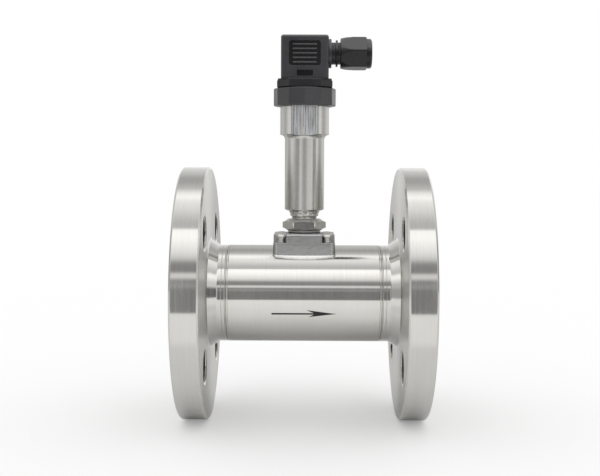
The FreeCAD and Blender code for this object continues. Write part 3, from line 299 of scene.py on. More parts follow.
def turned_steel(name, tint, rough, axis, aniso=0.8, streak=0.06, scratch=0.03, bump=0.03, edge=0.6,
                 hole_shade=False, stem=False):
    """Steel with its tool marks running round an axis; a switch paints shade into the bolt holes, and stem
    adds the stem's marks with painted reflections on its flats.
    """
    made, w = finish(name)
    here = w.object_place()
    off = w.vector("SUBTRACT", here, CENTRE)
    along = w.vector("DOT_PRODUCT", off, axis)
    across = w.vector("SUBTRACT", off, w.vector("MULTIPLY", axis, w.join(along, along, along)))
    # The marks change fast along the axis and with the radius, and hardly at all round the axis.
    slow = w.vector("DOT_PRODUCT", across, (9.0, 7.0, 8.0))
    lines = w.join(along, w.vector("LENGTH", across), w.maths("MULTIPLY", slow, 0.004))
    fine = w.noise(lines, 5200.0, 2.0, 0.6)
    wide = w.noise(lines, 900.0, 3.0, 0.6)
    cloud = w.noise(here, 42.0, 3.0)
    specks = w.noise(here, 900.0, 2.0, 0.7)
    shade = w.maths("ADD", w.sway(fine, streak), w.sway(wide, streak))
    shade = w.maths("ADD", shade, w.sway(cloud, 0.03))
    shade = w.maths("ADD", shade, w.span(specks, 0.66, 0.8, 0.0, -0.06))
    colour = toned(w, tint, shade, WARM)
    worn = w.span(w.maths("ADD", fine, wide), 0.6, 1.4, rough - scratch, rough + scratch)
    dents = w.maths("ADD", w.maths("MULTIPLY", fine, 0.5), wide)
    lift = w.put("Bump", {"Height": dents, "Strength": bump, "Distance": BUMP_DEPTH})
    if stem:
        colour, worn, lift = stem_marks(w, here, off, colour, worn, lift)
    if hole_shade:
        colour, worn = bolt_holes(w, here, colour, worn)
    round_axis = w.vector("CROSS_PRODUCT", axis, w.vector("SUBTRACT", w.geometry("Position"), CENTRE))
    w.principled({
        "Base Color": colour, "Metallic": 1.0, "Roughness": worn, "Normal": lift.outputs[0],
        "Tangent": w.vector("NORMALIZE", round_axis), "Anisotropic": aniso, "Anisotropic Rotation": 0.25,
        "Specular Tint": grey(edge)})
    return made


def ground_steel(name, tint, rough, stretch=(1, 1, 12), streak=0.12, bump=0.05, warm=WARM, ends=0.0):
    """Steel ground along one direction, or evenly where stretch is even; ends roughens level faces."""
    made, w = finish(name)
    here = w.object_place()
    fine = w.noise(w.vector("MULTIPLY", here, stretch), 260.0, 4.0, 0.65)
    cloud = w.noise(here, 60.0, 3.0)
    specks = w.noise(here, 1500.0, 2.0, 0.7)
    shade = w.maths("ADD", w.sway(fine, streak), w.sway(cloud, 0.05))
    shade = w.maths("ADD", shade, w.span(specks, 0.62, 0.8, 0.0, -0.10))
    colour = toned(w, tint, shade, warm)
    worn = w.span(fine, 0.3, 0.7, rough - 0.05, rough + 0.06)
    if ends:
        worn = w.maths("ADD", worn, w.span(w.facing("Z"), 0.6, 0.8, 0.0, ends))
    lift = w.put("Bump", {"Height": w.maths("ADD", fine, specks), "Strength": bump, "Distance": BUMP_DEPTH})
    w.principled({
        "Base Color": colour, "Metallic": 1.0, "Roughness": worn, "Normal": lift.outputs[0],
        "Specular Tint": grey(0.6)})
    return made


def moulded(name, colour, rough, specular=0.5, painted_top_light=0.0):
    """Moulded plastic or rubber with faint clouds and rubbed spots; where a grey is given, it is painted
    onto what faces up as light from above.
    """
    made, w = finish(name)
    here = w.object_place()
    skin = w.noise(here, 2200.0, 3.0, 0.6)
    cloud = w.noise(here, 70.0, 4.0, 0.6)
    spots = w.noise(here, 420.0, 3.0, 0.7)
    darker = tuple(c * 0.75 for c in colour) + (1.0,)
    paler = tuple(c * 1.25 + 0.002 for c in colour) + (1.0,)
    tone = w.maths("ADD", w.maths("MULTIPLY", cloud, 0.6), w.maths("MULTIPLY", spots, 0.4))
    paint = w.blend(w.span(tone, 0.35, 0.65), darker, paler)
    # Painted light: faces that look up are paled towards the given grey, as if lit from above.
    if painted_top_light:
        upward = w.split(w.geometry("Normal"))["Z"]
        paint = w.blend(w.span(upward, 0.05, 0.4), paint, grey(painted_top_light))
    rub = w.maths("ADD", w.sway(cloud, 0.05), w.span(skin, 0.3, 0.7, -0.03, 0.05))
    dents = w.maths("ADD", skin, w.maths("MULTIPLY", spots, 0.6))
    lift = w.put("Bump", {"Height": dents, "Strength": 0.10, "Distance": BUMP_DEPTH})
    w.principled({
        "Base Color": paint, "Roughness": w.maths("ADD", rub, rough), "Normal": lift.outputs[0],
        "Specular IOR Level": specular})
    return made


EVEN = (1, 1, 1)
FINISH = {
    # The flanges' bolt holes get painted shade.
    "flange_steel": turned_steel("flange_steel", 0.67, 0.145, X_AXIS, aniso=0.85, edge=0.9, hole_shade=True),
    "pipe_steel": turned_steel("pipe_steel", 0.73, 0.15, X_AXIS, aniso=0.9, streak=0.05, scratch=0.02,
                               bump=0.015),
    "block_steel": ground_steel("block_steel", 0.60, 0.30, warm=0.005, ends=0.25),
    "screw_steel": turned_steel("screw_steel", 0.84, 0.34, Z_AXIS, aniso=0.2),
    "nut_steel": ground_steel("nut_steel", 0.66, 0.16, EVEN, streak=0.08, bump=0.02, ends=0.30),
    "stem_steel": turned_steel("stem_steel", 0.68, 0.24, Z_AXIS, aniso=0.96, streak=0.04, scratch=0.02,
                               bump=0.01, stem=True),
    "cage_steel": ground_steel("cage_steel", 0.60, 0.30),
    "rotor_steel": ground_steel("rotor_steel", 0.62, 0.28),
    "hard_metal": turned_steel("hard_metal", 0.42, 0.22, X_AXIS),
    "spring_steel": ground_steel("spring_steel", 0.45, 0.28),
    "soft_iron": turned_steel("soft_iron", 0.45, 0.35, Z_AXIS),
    "magnet_nickel": turned_steel("magnet_nickel", 0.66, 0.18, Z_AXIS),
    "copper_wire": ground_steel("copper_wire", (0.80, 0.38, 0.22), 0.3, (1, 1, 30)),
    "contact_brass": ground_steel("contact_brass", (0.78, 0.58, 0.26), 0.28),
    "black_nut": moulded("black_nut", (0.018, 0.018, 0.0215), 0.36, specular=1.0),
    # The plug and the gland get painted light on their upper faces.
    "black_plug": moulded("black_plug", (0.028, 0.0283, 0.0325), 0.34, specular=0.75, painted_top_light=0.09),
    "black_gland": moulded("black_gland", (0.008, 0.0082, 0.0095), 0.26, specular=0.4, painted_top_light=0.095),
    "dark_rubber": moulded("dark_rubber", (0.045, 0.045, 0.047), 0.7),
    "grey_rubber": moulded("grey_rubber", (0.06, 0.06, 0.065), 0.6),
    "cream_plastic": moulded("cream_plastic", (0.60, 0.55, 0.42), 0.4),
    "board_green": moulded("board_green", (0.02, 0.12, 0.05), 0.35),
    "chip_black": moulded("chip_black", (0.02, 0.02, 0.022), 0.5),
    "grey_plastic": moulded("grey_plastic", (0.25, 0.26, 0.27), 0.45),
}
# A near black for the printed arrow, and for plates that paint shade into the panel's pocket and notch.
PRINT_AND_SHADE_BLACK = moulded("print_and_shade_black", (0.009, 0.0092, 0.011), 0.2, specular=0.4)
BASE_BLACK = moulded("base_black", (0.014, 0.0142, 0.017), 0.34, specular=0.5)
RUBBED_BLACK = moulded("rubbed_black", (0.07, 0.07, 0.073), 0.36, specular=0.7)
NECK_STEEL = ground_steel("neck_steel", 0.92, 0.22, EVEN, streak=0.10, bump=0.10)


# ---------------------------------------------------------------- mesh helpers
def softened(points, steps=4, closed=True):
    """Rounds an outline's corners; a point is (a, b) or (a, b, radius)."""
    made = []
    for i, point in enumerate(points):
        here = Vector(point[:2])
        is_end = not closed and i in (0, len(points) - 1)
        if len(point) < 3 or is_end:
            made.append(here)
            continue
        u, v = Vector(points[i - 1][:2]) - here, Vector(points[(i + 1) % len(points)][:2]) - here
        half = u.angle(v) / 2
        # A rounding takes less than half of the sides beside it, so neighbours don't cross.
        reach = min(point[2] / math.tan(half), u.length * 0.49, v.length * 0.49)
        u, v = u.normalized(), v.normalized()
        centre = here + (u + v).normalized() * (reach / math.cos(half))
        first, last = here + u * reach - centre, here + v * reach - centre
        start = math.atan2(first.y, first.x)
        turn = (math.atan2(last.y, last.x) - start + math.pi) % (2 * math.pi) - math.pi
        for k in range(steps + 1):
            a = start + turn * k / steps
            made.append(centre + Vector((math.cos(a), math.sin(a))) * first.length)
    return made


def divided(points, step):
    """Cuts an open row of points into parts of about a step; the last point is left off."""
    made = []
    for p, q in zip(points, points[1:]):
        parts = max(1, int((q - p).length / step))
        made += [p.lerp(q, k / parts) for k in range(parts)]
    return made


def box_outline(cx, cy, width, height, radius=0.0, steps=4):
    w, h = width / 2, height / 2
    corners = [(cx - w, cy - h), (cx + w, cy - h), (cx + w, cy + h), (cx - w, cy + h)]
    return softened([c + (radius,) for c in corners] if radius else corners, steps)


def polygon(sides, corner, turn, radius):
    """A regular polygon with rounded corners, by the distance of its corners from the middle."""
    spots = [math.radians(360 * k / sides + turn) for k in range(sides)]
    return softened([(corner * math.cos(a), corner * math.sin(a), radius) for a in spots], 3)


def lying(outline, z, shift=0):
    """Sets an outline level at a height, moved along the pipe."""
    return [(shift + p[0], p[1], z) for p in outline]


def standing(outline, y):
    """Sets an outline upright at a depth."""
    return [(p[0], y, p[1]) for p in outline]


def bridge(bm, a, b):
    """Joins two closed rows of vertices; a row of one vertex is a point."""
    count = max(len(a), len(b))
    for i in range(count):
        j = (i + 1) % count
        corners = [a[i % len(a)], b[i % len(b)], b[j % len(b)], a[j % len(a)]]
        bm.faces.new(list(dict.fromkeys(corners)))


def spin(bm, outline, count, line=PIPE_LINE, closed=True, ripple=None):
    """Revolves an outline of (along, radius) about a line; where closed is off, its ends are on the line."""
    origin, direction = Vector(line[0]), line[1]
    rows = []
    for along, radius in outline:
        off_line = radius > 1e-6
        row = []
        for i in range(count if off_line else 1):
            a = 2 * math.pi * i / count
            r = radius + (ripple(along, a) if ripple and off_line else 0)
            c, s = r * math.cos(a), r * math.sin(a)
            spot = (along, c, s) if direction == "X" else (c, s, along)
            row.append(bm.verts.new((origin + Vector(spot)) * MM))
        rows.append(row)
    for a, b in zip(rows, rows[1:] + rows[:1] if closed else rows[1:]):
        if len(a) + len(b) > 2:
            bridge(bm, a, b)


def loft(bm, loops):
    """Joins loops of points with as many points each, and closes both ends."""
    rows = [[bm.verts.new(Vector(p) * MM) for p in loop] for loop in loops]
    for a, b in zip(rows, rows[1:]):
        bridge(bm, a, b)
    bm.faces.new(rows[0][::-1])
    bm.faces.new(rows[-1])


def prism(bm, outline, low, high, place=lying):
    """A straight solid over an outline."""
    loft(bm, [place(outline, low), place(outline, high)])


def made_object(name, bm):
    bmesh.ops.recalc_face_normals(bm, faces=bm.faces[:])
    mesh = bpy.data.meshes.new(name)
    bm.to_mesh(mesh)
    bm.free()
    made = bpy.data.objects.new(name, mesh)
    scene.collection.objects.link(made)
    return made


def built(name, build, *values, **options):
    """Makes an object from what build(bm, ...) makes."""
    bm = bmesh.new()
    build(bm, *values, **options)
    return made_object(name, bm)


def bake(piece):
    """Applies a piece's modifiers."""
    bpy.context.view_layer.update()
    mesh = bpy.data.meshes.new_from_object(piece.evaluated_get(bpy.context.evaluated_depsgraph_get()))
    piece.modifiers.clear()
    piece.data = mesh


def carve(piece, build, operation="DIFFERENCE"):
    """Cuts, joins or keeps what build(bm) makes."""
    tool = built("tool", build)
    step = piece.modifiers.new("carve", "BOOLEAN")
    step.operation = operation
    step.object = tool
    step.solver = "EXACT"
    bake(piece)
    bpy.data.objects.remove(tool)


def bore(piece, outline, count, line=STEM_LINE, operation="DIFFERENCE"):
    """Carves with the round form that an open outline gives."""
    carve(piece, lambda bm: spin(bm, outline, count, line, closed=False), operation)


def round_edges(piece, width, angle):
    """Rounds the edges that are sharper than an angle."""
    edge = piece.modifiers.new("edge", "BEVEL")
    edge.width = width * MM
    edge.segments = 3
    edge.limit_method = "ANGLE"
    edge.angle_limit = math.radians(angle)
    edge.use_clamp_overlap = True
    edge.face_strength_mode = "FSTR_ALL"


def dress(piece, material, body="meter_body", soften=0.0):
    """Gives a piece its material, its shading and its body."""
    mesh = piece.data
    mesh.materials.clear()
    mesh.materials.append(material)
    mesh.polygons.foreach_set("use_smooth", [True] * len(mesh.polygons))
    if soften:
        round_edges(piece, soften, 24)
    else:
        mesh.set_sharp_from_angle(angle=math.radians(40))
    normals = piece.modifiers.new("normals", "WEIGHTED_NORMAL")
    normals.keep_sharp = not soften
    normals.use_face_influence = bool(soften)
    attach(piece, body)


def stand_in(piece, node, body="meter_body", soften=0.0, material=None):
    """Dresses a piece that takes a CAD node's place."""
    dress(piece, material or FINISH[SLOT[node]], body, soften)
    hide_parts(node)


# ---------------------------------------------------------------- flanges and pipe
def flange(node, name, mirror):
    """A turned flange with a grooved sealing face, its neck and four bolt holes."""
    def placed(outline):
        return [(LENGTH - a if mirror else a, r) for a, r in outline]

    grooved_face = [(0, 17, 0.2), (0, 22.0)]
    radius = 22.6
    while radius < 37.2:
        grooved_face += [(0, radius), (0.14, radius + 0.3), (0, radius + 0.6)]
        radius += 0.9
    ring_seat = [(22, PIPE_BORE, 0.1), (22, 17, 0.1), (8.05, 17, 0.05), (8.05, 18.2), (6.5, 18.2),
                 (6.5, 17, 0.05)]
    rim = [(0, 39, 0.25), (3, 39, 0.4), (3, 69, 0.3), (4, 70, 0.45), (17, 70, 0.45), (18, 69, 0.3)]
    neck = [(18, 30.9, 0.9), (18.35, 30.0, 0.5), (23.5, PIPE_RADIUS, 1.6)]
    for groove in (25.4, 27.2):
        neck += [(groove - 0.15, PIPE_RADIUS), (groove, SEAM_RADIUS), (groove + 0.15, PIPE_RADIUS)]
    outline = softened([(28, PIPE_BORE, 0.1), *ring_seat, *grooved_face, *rim, *neck,
                        (27.65, PIPE_RADIUS, 0.1), (28, WELD_RADIUS, 0.05)], 4)
    piece = built(name, spin, placed(outline), 192)

    hole = softened([(2, 0), (2, 9.9), (3, 9.9), (3.45, 9.35, 0.4), (3.9, 9, 0.5), (17.1, 9, 0.5),
                     (17.55, 9.35, 0.4), (18, 9.9), (19, 9.9), (19, 0)], 3)

    def holes(bm):
        for y in (-BOLT_AT, BOLT_AT):
            for z in (-BOLT_AT, BOLT_AT):
                spin(bm, placed(hole), 64, ((0, y, z), "X"), closed=False)
    carve(piece, holes)
    stand_in(piece, node)


flange("inlet_flange", "turned_inlet_flange", False)
flange("outlet_flange", "turned_outlet_flange", True)

# The fine grooves at 28.95 and 111.05 are the seams beside the flanges.
pipe = built("polished_pipe", spin, softened([
    (28, PIPE_BORE, 0.05), (28, WELD_RADIUS, 0.05), (28.35, PIPE_RADIUS, 0.1), (28.7, SWELL_RADIUS, 0.2),
    (28.95, SEAM_RADIUS, 0.1), (29.2, SWELL_RADIUS, 0.2), (30, PIPE_RADIUS, 0.3), (110, PIPE_RADIUS, 0.3),
    (110.8, SWELL_RADIUS, 0.2), (111.05, SEAM_RADIUS, 0.1), (111.3, SWELL_RADIUS, 0.2),
    (111.65, PIPE_RADIUS, 0.1), (112, WELD_RADIUS, 0.05), (112, PIPE_BORE, 0.05)], 3), 192)
bore(pipe, [(18, 0), (18, SLEEVE_BORE), (30, SLEEVE_BORE), (30, 0)], 64)
stand_in(pipe, "body_tube")

# ---------------------------------------------------------------- flow arrow
ARROW_ARC = -8.5  # the arrow's place along the pipe's curve, from the level of its axis
BARBS_END = 75.4  # where the barbs have met the shaft and the solid head starts
HEAD_LENGTH = 11.9
TIP = 87.3
INK_LIFT = 0.03


def on_pipe(x, arc):
    """A point just off the pipe's front, arc millimetres above the level of its axis."""
    a, r = arc / PIPE_RADIUS, PIPE_RADIUS + INK_LIFT
    return (x, -r * math.cos(a), r * math.sin(a))


def strip(bm, stations):
    """A thin printed strip through stations of (x, lower arc, upper arc)."""
    for pair in zip(stations, stations[1:]):
        rows = [[on_pipe(x, a + (b - a) * k / 3) for k in range(4)] for x, a, b in pair]
        for k in range(3):
            quad = [rows[0][k], rows[1][k], rows[1][k + 1], rows[0][k + 1]]
            bm.faces.new([bm.verts.new(Vector(p) * MM) for p in quad])


def flow_arrow(bm):
    """A shaft, two swept barbs and a solid head."""
    shaft = ((52.7, -0.50, 0.44), (60, -0.48, 0.44), (BARBS_END, -0.44, 0.42))
    strip(bm, [(x, ARROW_ARC + low, ARROW_ARC + high) for x, low, high in shaft])
    for side, start, wide in ((1, 71.4, 2.15), (-1, 72.6, 1.9)):
        barb = []
        for k in range(7):
            x = start + (BARBS_END - start) * k / 6
            inner = wide - (wide - 0.43) * k / 6
            outer = max(inner, wide * (TIP - x) / (TIP - start))
            barb.append((x, *sorted((ARROW_ARC + side * inner, ARROW_ARC + side * outer))))
        strip(bm, barb)
    head = [(BARBS_END + HEAD_LENGTH * k / 8, 1 - k / 8) for k in range(9)]
    strip(bm, [(x, ARROW_ARC - max(1.538 * h, 0.02), ARROW_ARC + max(1.609 * h, 0.02)) for x, h in head])
    bmesh.ops.remove_doubles(bm, verts=bm.verts[:], dist=2e-6)


arrow = built("flow_arrow", flow_arrow)
arrow.modifiers.new("thick", "SOLIDIFY").thickness = 0.02 * MM
bake(arrow)
dress(arrow, PRINT_AND_SHADE_BLACK)


# ---------------------------------------------------------------- sensor block
def foot(bm):
    """The block's square lower part, from under the pipe's top; each level is (z, inset, radius)."""
    levels = ((19.0, 0.22, 2.0), (22.0, 0.20, 2.0), (25.0, 0.05, 2.1), (28.0, 0.0, 2.2), (28.85, 0.0, 2.2),
              (29.0, 0.12, 2.1))
    loft(bm, [lying(box_outline(0, 0, 2 * (BLOCK_HALF - inset), 2 * (BLOCK_HALF - inset), radius, 5), z,
                    MIDDLE) for z, inset, radius in levels])


def cross(bm):
    """The upper part, whose corners are cut back for the screws; each level is (z, inset)."""
    out, back = BLOCK_HALF - 0.02, BLOCK_HALF - 7.1
    loops = []
    for z, inset in ((28.9, 0.0), (29.4, 0.0), (31.5, 0.04), (33.05, 0.06), (33.2, 0.12), (33.58, 0.32),
                     (33.7, 0.55)):
        o, i = out - inset, back - inset * 0.5
        loops.append(lying(softened([
            (-i, -o, 0.35), (i, -o, 0.35), (i, -i, 0.9), (o, -i, 0.35), (o, i, 0.35), (i, i, 0.9),
            (i, o, 0.35), (-i, o, 0.35), (-i, i, 0.9), (-o, i, 0.35), (-o, -i, 0.35), (-i, -i, 0.9)], 3), z,
            MIDDLE))
    loft(bm, loops)


def in_corners(bm, build):
    """Repeats what build(bm, x, y) makes at the block's four corners."""
    for x in (-CORNER_AT, CORNER_AT):
        for y in (-CORNER_AT, CORNER_AT):
            build(bm, MIDDLE + x, y)


def screw_hole(bm, x, y):
    spin(bm, [(24, 0), (24, 1.5), (30, 1.5), (30, 0)], 24, ((x, y, 0), "Z"), closed=False)


block = built("milled_block", foot)
carve(block, cross, "UNION")
bore(block, [(18, 0), (18, SLEEVE_BORE), (32.9, SLEEVE_BORE), (34, 7.9), (34, 0)], 64)
carve(block, lambda bm: in_corners(bm, screw_hole))
bore(block, [(40, 0), (40, 26.7), (100, 26.7), (100, 0)], 128, PIPE_LINE)
stand_in(block, "sensor_boss")


def on_top(y):
    """Height of the pipe's upper side, by the distance from its middle line."""
    return math.sqrt(PIPE_RADIUS ** 2 - y ** 2)


def bead(bm):
    """The weld round the block's foot, wider in front and behind, with its fine ripples."""
    path = box_outline(0, 0, 2 * BLOCK_HALF - 0.5, 2 * BLOCK_HALF - 0.5, 2.0, 8)
    fine = divided(path + path[:1], 0.4)
    rows = []
    for i, p in enumerate(fine):
        way = (fine[(i + 1) % len(fine)] - fine[i - 1]).normalized()
        out = Vector((way.y, -way.x))
        front = abs(out.y) * max(0.0, 1 - (p.x / 17.5) ** 2)
        wide = 0.55 + 0.85 * front + 0.03 * math.sin(i * 0.9) + 0.02 * math.sin(i * 0.37)
        tall = 1.45 + 0.04 * math.sin(i * 0.9 + 1.0)
        row = []
        for k in range(8):  # from the block's wall, above, down to the pipe
            t = k / 7
            spot = p + out * (wide * t - 0.35 * (1 - t))
            rise = tall * (1 - t) ** 0.75 * (1 + 0.35 * math.sin(math.pi * t)) - (0.12 if k == 7 else 0)
            row.append((MIDDLE + spot.x, spot.y, on_top(spot.y) + rise))
        inside = p - out * 0.6
        row.append((MIDDLE + inside.x, inside.y, on_top(inside.y) - 0.3))
        rows.append([bm.verts.new(Vector(spot) * MM) for spot in row])
    for a, b in zip(rows, rows[1:] + rows[:1]):
        bridge(bm, a, b)


dress(built("weld_bead", bead), FINISH["pipe_steel"])


def screw(bm, x, y):
    """A screw with a head that tapers to its top."""
    spin(bm, softened([(24.3, 0), (24.3, 1.5), (31.8, 1.5, 0.1), (31.8, 2.8, 0.2), (32.55, 2.8, 0.3),
                       (33.5, 2.33, 0.3), (33.7, 1.9, 0.2), (33.7, 0)], 4), 48, ((x, y, 0), "Z"),
         closed=False)


def socket(bm, x, y):
    """The hexagon in a screw's head."""
    corners = [math.radians(60 * k + 15) for k in range(6)]
    prism(bm, [(x + 1.4 * math.cos(a), y + 1.4 * math.sin(a)) for a in corners], 32.5, 34.5)


def coil_washer(bm, x, y):
    """A spring washer: a flat ring that is split and climbs a little."""
    loops = []
    for k in range(41):
        a = math.radians(8 + 344 * k / 40)
        lift = 0.12 * k / 40
        ring = softened([(1.62, 30.72 + lift, 0.12), (2.3, 30.72 + lift, 0.12), (2.3, 31.66 + lift, 0.12),
                         (1.62, 31.66 + lift, 0.12)], 2)
        loops.append([(x + p.x * math.cos(a), y + p.x * math.sin(a), p.y) for p in ring])
    loft(bm, loops)


def spacer(bm, x, y):
    """Two stacked rings with a groove between them."""
    spin(bm, softened([(29.0, 1.55, 0.1), (29.0, 2.1, 0.2), (29.8, 2.1, 0.1), (29.9, 1.98, 0.1),
                       (30.05, 1.98, 0.1), (30.15, 2.1, 0.1), (30.7, 2.1, 0.15), (30.7, 1.55, 0.1)], 2), 40,
         ((x, y, 0), "Z"))


screws = built("corner_screws", in_corners, screw)
carve(screws, lambda bm: in_corners(bm, socket))
stand_in(screws, "boss_screws")
stand_in(built("spring_washers", in_corners, coil_washer), "boss_lock_washers")
stand_in(built("screw_spacers", in_corners, spacer), "boss_spacers")

# ---------------------------------------------------------------- lock nut, pickup sleeve and stem
hexagon = polygon(6, 12.182, 0, 0.9)
nut = built("hexagon_lock_nut", lambda bm: loft(bm, [lying(hexagon, z, MIDDLE) for z in (34.5, 42)]))
bore(nut, [(34.9, 0), (34.9, 8.9), (36.1, 10.55), (36.9, 12.7), (39.5, 12.7), (40.3, 10.55), (41.5, 8.9),
           (41.5, 0)], 128, operation="INTERSECT")
bore(nut, [(34, 0), (34, 8), (34.9, 7.6), (35.45, SLEEVE_BORE), (40.95, SLEEVE_BORE), (41.5, 7.6), (42, 8),
           (42, 0)], 64)
stand_in(nut, "lock_nut", soften=0.16)

seal = softened([(33.7, SLEEVE_BORE), (33.7, 8.8, 0.2), (34.32, 8.8, 0.2), (34.32, SLEEVE_BORE)], 3)
stand_in(built("rubber_seal", spin, seal, 96, STEM_LINE), "seal_washer")
rim = softened([(34.34, SLEEVE_BORE), (34.34, 8.75, 0.15), (34.9, 8.9, 0.1), (34.9, SLEEVE_BORE)], 3)
dress(built("seal_rim", spin, rim, 96, STEM_LINE), NECK_STEEL)


def lumps(z, a):
    """How far the neck's surface stands out at a height and an angle."""
    return 0.16 * math.sin(13 * a + 3.1 * z) + 0.12 * math.sin(8 * a - 4 * z) if 43 < z < 45.7 else 0


thread = []
for k in range(4):
    thread += [(38.8 + k, 6.5), (39.15 + k, 7.0), (39.4 + k, 7.0), (39.75 + k, 6.5)]
neck = [(42.85, 6.95), (43.05, 7.3), (43.5, 7.65), (43.95, 7.7), (44.25, 7.6), (44.5, 7.7), (44.85, 8.0),
        (45.3, 8.2), (45.65, 8.15)]
sleeve = [(18.05, 0), (18.05, 6.6), (18.45, 7), (38.5, 7), *thread, *neck, (45.8, 8.0), (45.8, 8.3),
          (59.8, 8.3), (59.8, 5), (19.05, 5), (19.05, 0)]
stand_in(built("threaded_sleeve", spin, sleeve, 144, STEM_LINE, closed=False, ripple=lumps),
         "pickup_sleeve", material=NECK_STEEL)

# The stem widens to its head through a round hollow.
HEAD_RADIUS, HOLLOW, HEAD_BORE = 13.5, 2.65, 10.05
hollow = [(85.35 + HOLLOW * math.sin(math.radians(t)), HEAD_RADIUS - HOLLOW * math.cos(math.radians(t)))
          for t in range(0, 90, 9)]
stem = built("stem_tube", spin, softened([
    (45.8, 8.35, 0.05), (46.8, 10.85, 0.3), *hollow, (88.0, HEAD_RADIUS, 0.35), (103.6, HEAD_RADIUS, 0.3),
    (103.6, HEAD_BORE, 0.1), (95.6, HEAD_BORE), (95.6, 8.35)], 4), 160, STEM_LINE)
# Two wrench flats are cut into the head, in front and behind.
carve(stem, lambda bm: [prism(bm, box_outline(MIDDLE, side * 16.5, 40, 10), 80, 110) for side in (-1, 1)])
stand_in(stem, "stem_housing", soften=0.12)

# ---------------------------------------------------------------- plug
# Each level of the nut is (z, inset).
nut_levels = ((103.6, 0.75), (103.75, 0.35), (104.1, 0.04), (104.4, 0), (112.7, 0), (113.0, 0.04),
              (113.35, 0.35), (113.5, 0.75))
ring_nut = built("twelve_sided_nut", lambda bm: loft(bm, [
    lying(polygon(12, 17.15 - inset, 90, 0.7 - 0.5 * inset), z, MIDDLE) for z, inset in nut_levels]))
bore(ring_nut, [(103, 0), (103, 10.6), (103.6, 10.5), (104, 10.05), (113.1, 10.05), (113.5, 10.5),
                (114, 10.6), (114, 0)], 96)
stand_in(ring_nut, "coupling_nut")

PANEL_Z, NOTCH_Z = 131.6, 120.9  # heights of the front panel and of the small notch under it
top_edge = [(140.1 + 1.4 * math.sin(math.radians(t)), 1.4 * (1 - math.cos(math.radians(t))))
            for t in range(0, 91, 15)]
shell = built("plug_housing", lambda bm: loft(bm, [
    lying(box_outline(MIDDLE, 0, 25.9 - 2 * inset, 27 - 2 * inset, max(1.4 - inset, 0.05), 5), z)
    for z, inset in [(118.3, 0.2), (118.5, 0.0), *top_edge]]))
spout_thread = [(84.9 + 0.9 * k + d, r) for k in range(13)
                for d, r in ((0, 5.9), (0.25, 6.15), (0.5, 6.15), (0.7, 5.9))]
# The spout with its thread is joined on, then the housing and the spout are hollowed.
bore(shell, [(80, 0), (80, 8), (84.35, 8), (84.6, 7.85), (84.65, 5.9), *spout_thread, (97.2, 5.9),
             (97.6, 5.5), (97.6, 0)], 96, OUTLET_LINE, "UNION")
carve(shell, lambda bm: prism(bm, box_outline(MIDDLE, 0, 21.9, 23, 0.8), 117, 138.2))
bore(shell, [(76, 0), (76, 4.2), (90.1, 4.2), (90.1, 4.95), (99, 4.95), (99, 0)], 64, OUTLET_LINE)


def front_pocket(bm, centre, width, height, radius, depth):
    """A pocket in the housing's front whose walls lean a little."""
    loft(bm, [standing(box_outline(MIDDLE, centre, width + grow, height + grow, radius, 4), y)
              for y, grow in ((-14, 0.5), (-13.5, 0.2), (-13.4, 0.0), (-13.5 + depth, -0.15))])


carve(shell, lambda bm: front_pocket(bm, PANEL_Z, 17.2, 13.4, 1.2, 0.8))
carve(shell, lambda bm: front_pocket(bm, NOTCH_Z, 8.8, 3.2, 0.5, 1.0))
# The long screw's head sinks into the housing's top, and its shank goes through.
bore(shell, [(139.1, 0), (139.1, 3.5), (141.2, 3.5), (141.8, 3.9), (141.8, 0)], 48)
bore(shell, [(137, 0), (137, 1.7), (140, 1.7), (140, 0)], 32)
stand_in(shell, "connector_shell")


def panel_ribs(bm):
    """Five even ribs on the front panel."""
    for k in range(5):
        z = PANEL_Z + 2.4 * (k - 2)
        loft(bm, [standing(box_outline(MIDDLE, z, 13 + grow, 0.7 + grow, 0.3, 3), y)
                  for y, grow in ((-12.6, 0.25), (-12.9, 0.1), (-13.02, -0.02), (-13.1, -0.2))])


def pocket_shade_plates(bm):
    """Thin dark plates that line the panel's pocket and the notch: painted shade in the recesses."""
    prism(bm, box_outline(MIDDLE, PANEL_Z, 16.7, 12.9, 1.0), -12.78, -12.6, standing)
    prism(bm, box_outline(MIDDLE, NOTCH_Z, 8.5, 2.9, 0.4), -12.6, -12.4, standing)


dress(built("panel_ribs", panel_ribs), RUBBED_BLACK)
# The darker plates paint shade into the pocket and the notch.
dress(built("pocket_shade_plates", pocket_shade_plates), PRINT_AND_SHADE_BLACK)

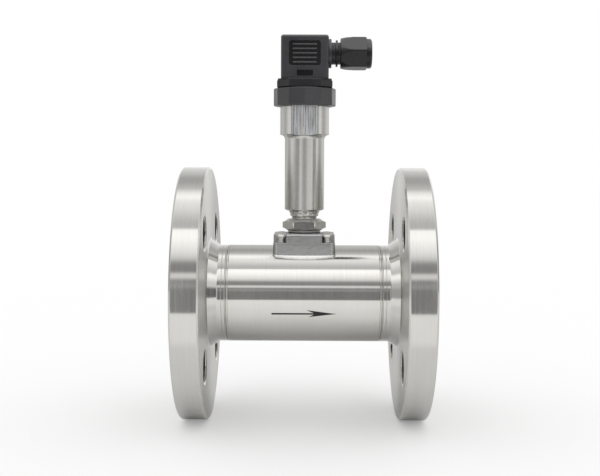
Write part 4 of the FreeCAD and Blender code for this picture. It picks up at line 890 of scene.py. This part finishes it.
long_screw = built("slotted_screw", spin, softened([
    (111.2, 0), (111.2, 1.5), (139.7, 1.5), (139.7, 2.75, 0.15), (141.5, 2.75, 0.4), (141.5, 0)], 4), 48,
    STEM_LINE, closed=False)
carve(long_screw, lambda bm: prism(bm, box_outline(MIDDLE, 0, 8, 0.8), 140.5, 143))
stand_in(long_screw, "connector_screw")


# ---------------------------------------------------------------- cable gland
def cap_loop(x, circle):
    """The cap nut's section at x: a hexagon whose corners are turned off to a circle."""
    count, half_width, turn, blend = 180, 8.3, math.radians(6.8), 0.12
    loop = []
    for k in range(count):
        a = 2 * math.pi * k / count
        flat = half_width / math.cos((a + turn) % (math.pi / 3) - math.pi / 6)
        gap = max(blend - abs(flat - circle), 0.0) / blend
        r = min(flat, circle) - gap * gap * blend / 4
        loop.append((x, r * math.cos(a), OUTLET_Z + r * math.sin(a)))
    return loop


flank = softened([(89.5, 7.9), (89.65, 8.25, 0.2), (92.5, 8.95, 9), (97.2, 9.62, 9), (103.1, 9.66, 0.4),
                  (103.8, 9.0)], 6, closed=False)
nose = softened([(103.8, 8.1), (106.8, 8.1, 1.4), (106.8, 4.6)], 8, closed=False)
stations = divided(flank, 0.5) + flank[-1:] + nose
cap = built("gland_cap_nut", lambda bm: loft(bm, [cap_loop(p.x, p.y) for p in stations]))
bore(cap, [(89, 0), (89, 6.9), (89.5, 6.6), (90, 6.25), (98.65, 6.25), (102.65, 5.0), (102.65, 4.6),
           (106.3, 4.6), (107, 5.2), (107, 0)], 64, OUTLET_LINE)
stand_in(cap, "gland_nut", "gland_cap")

# ---------------------------------------------------------------- CAD nodes that show as they are
for name, node in NODES.items():
    if node.hide_render:
        continue
    node.data.materials.clear()
    node.data.materials.append(BASE_BLACK if name == "connector_base" else FINISH[SLOT[name]])
    node.modifiers.new("weld", "WELD").merge_threshold = 1e-6
    flat = node.modifiers.new("flat", "DECIMATE")
    flat.decimate_type = "DISSOLVE"
    flat.angle_limit = math.radians(0.6)
    round_edges(node, 0.2, 32)
    node.modifiers.new("normals", "WEIGHTED_NORMAL").use_face_influence = True
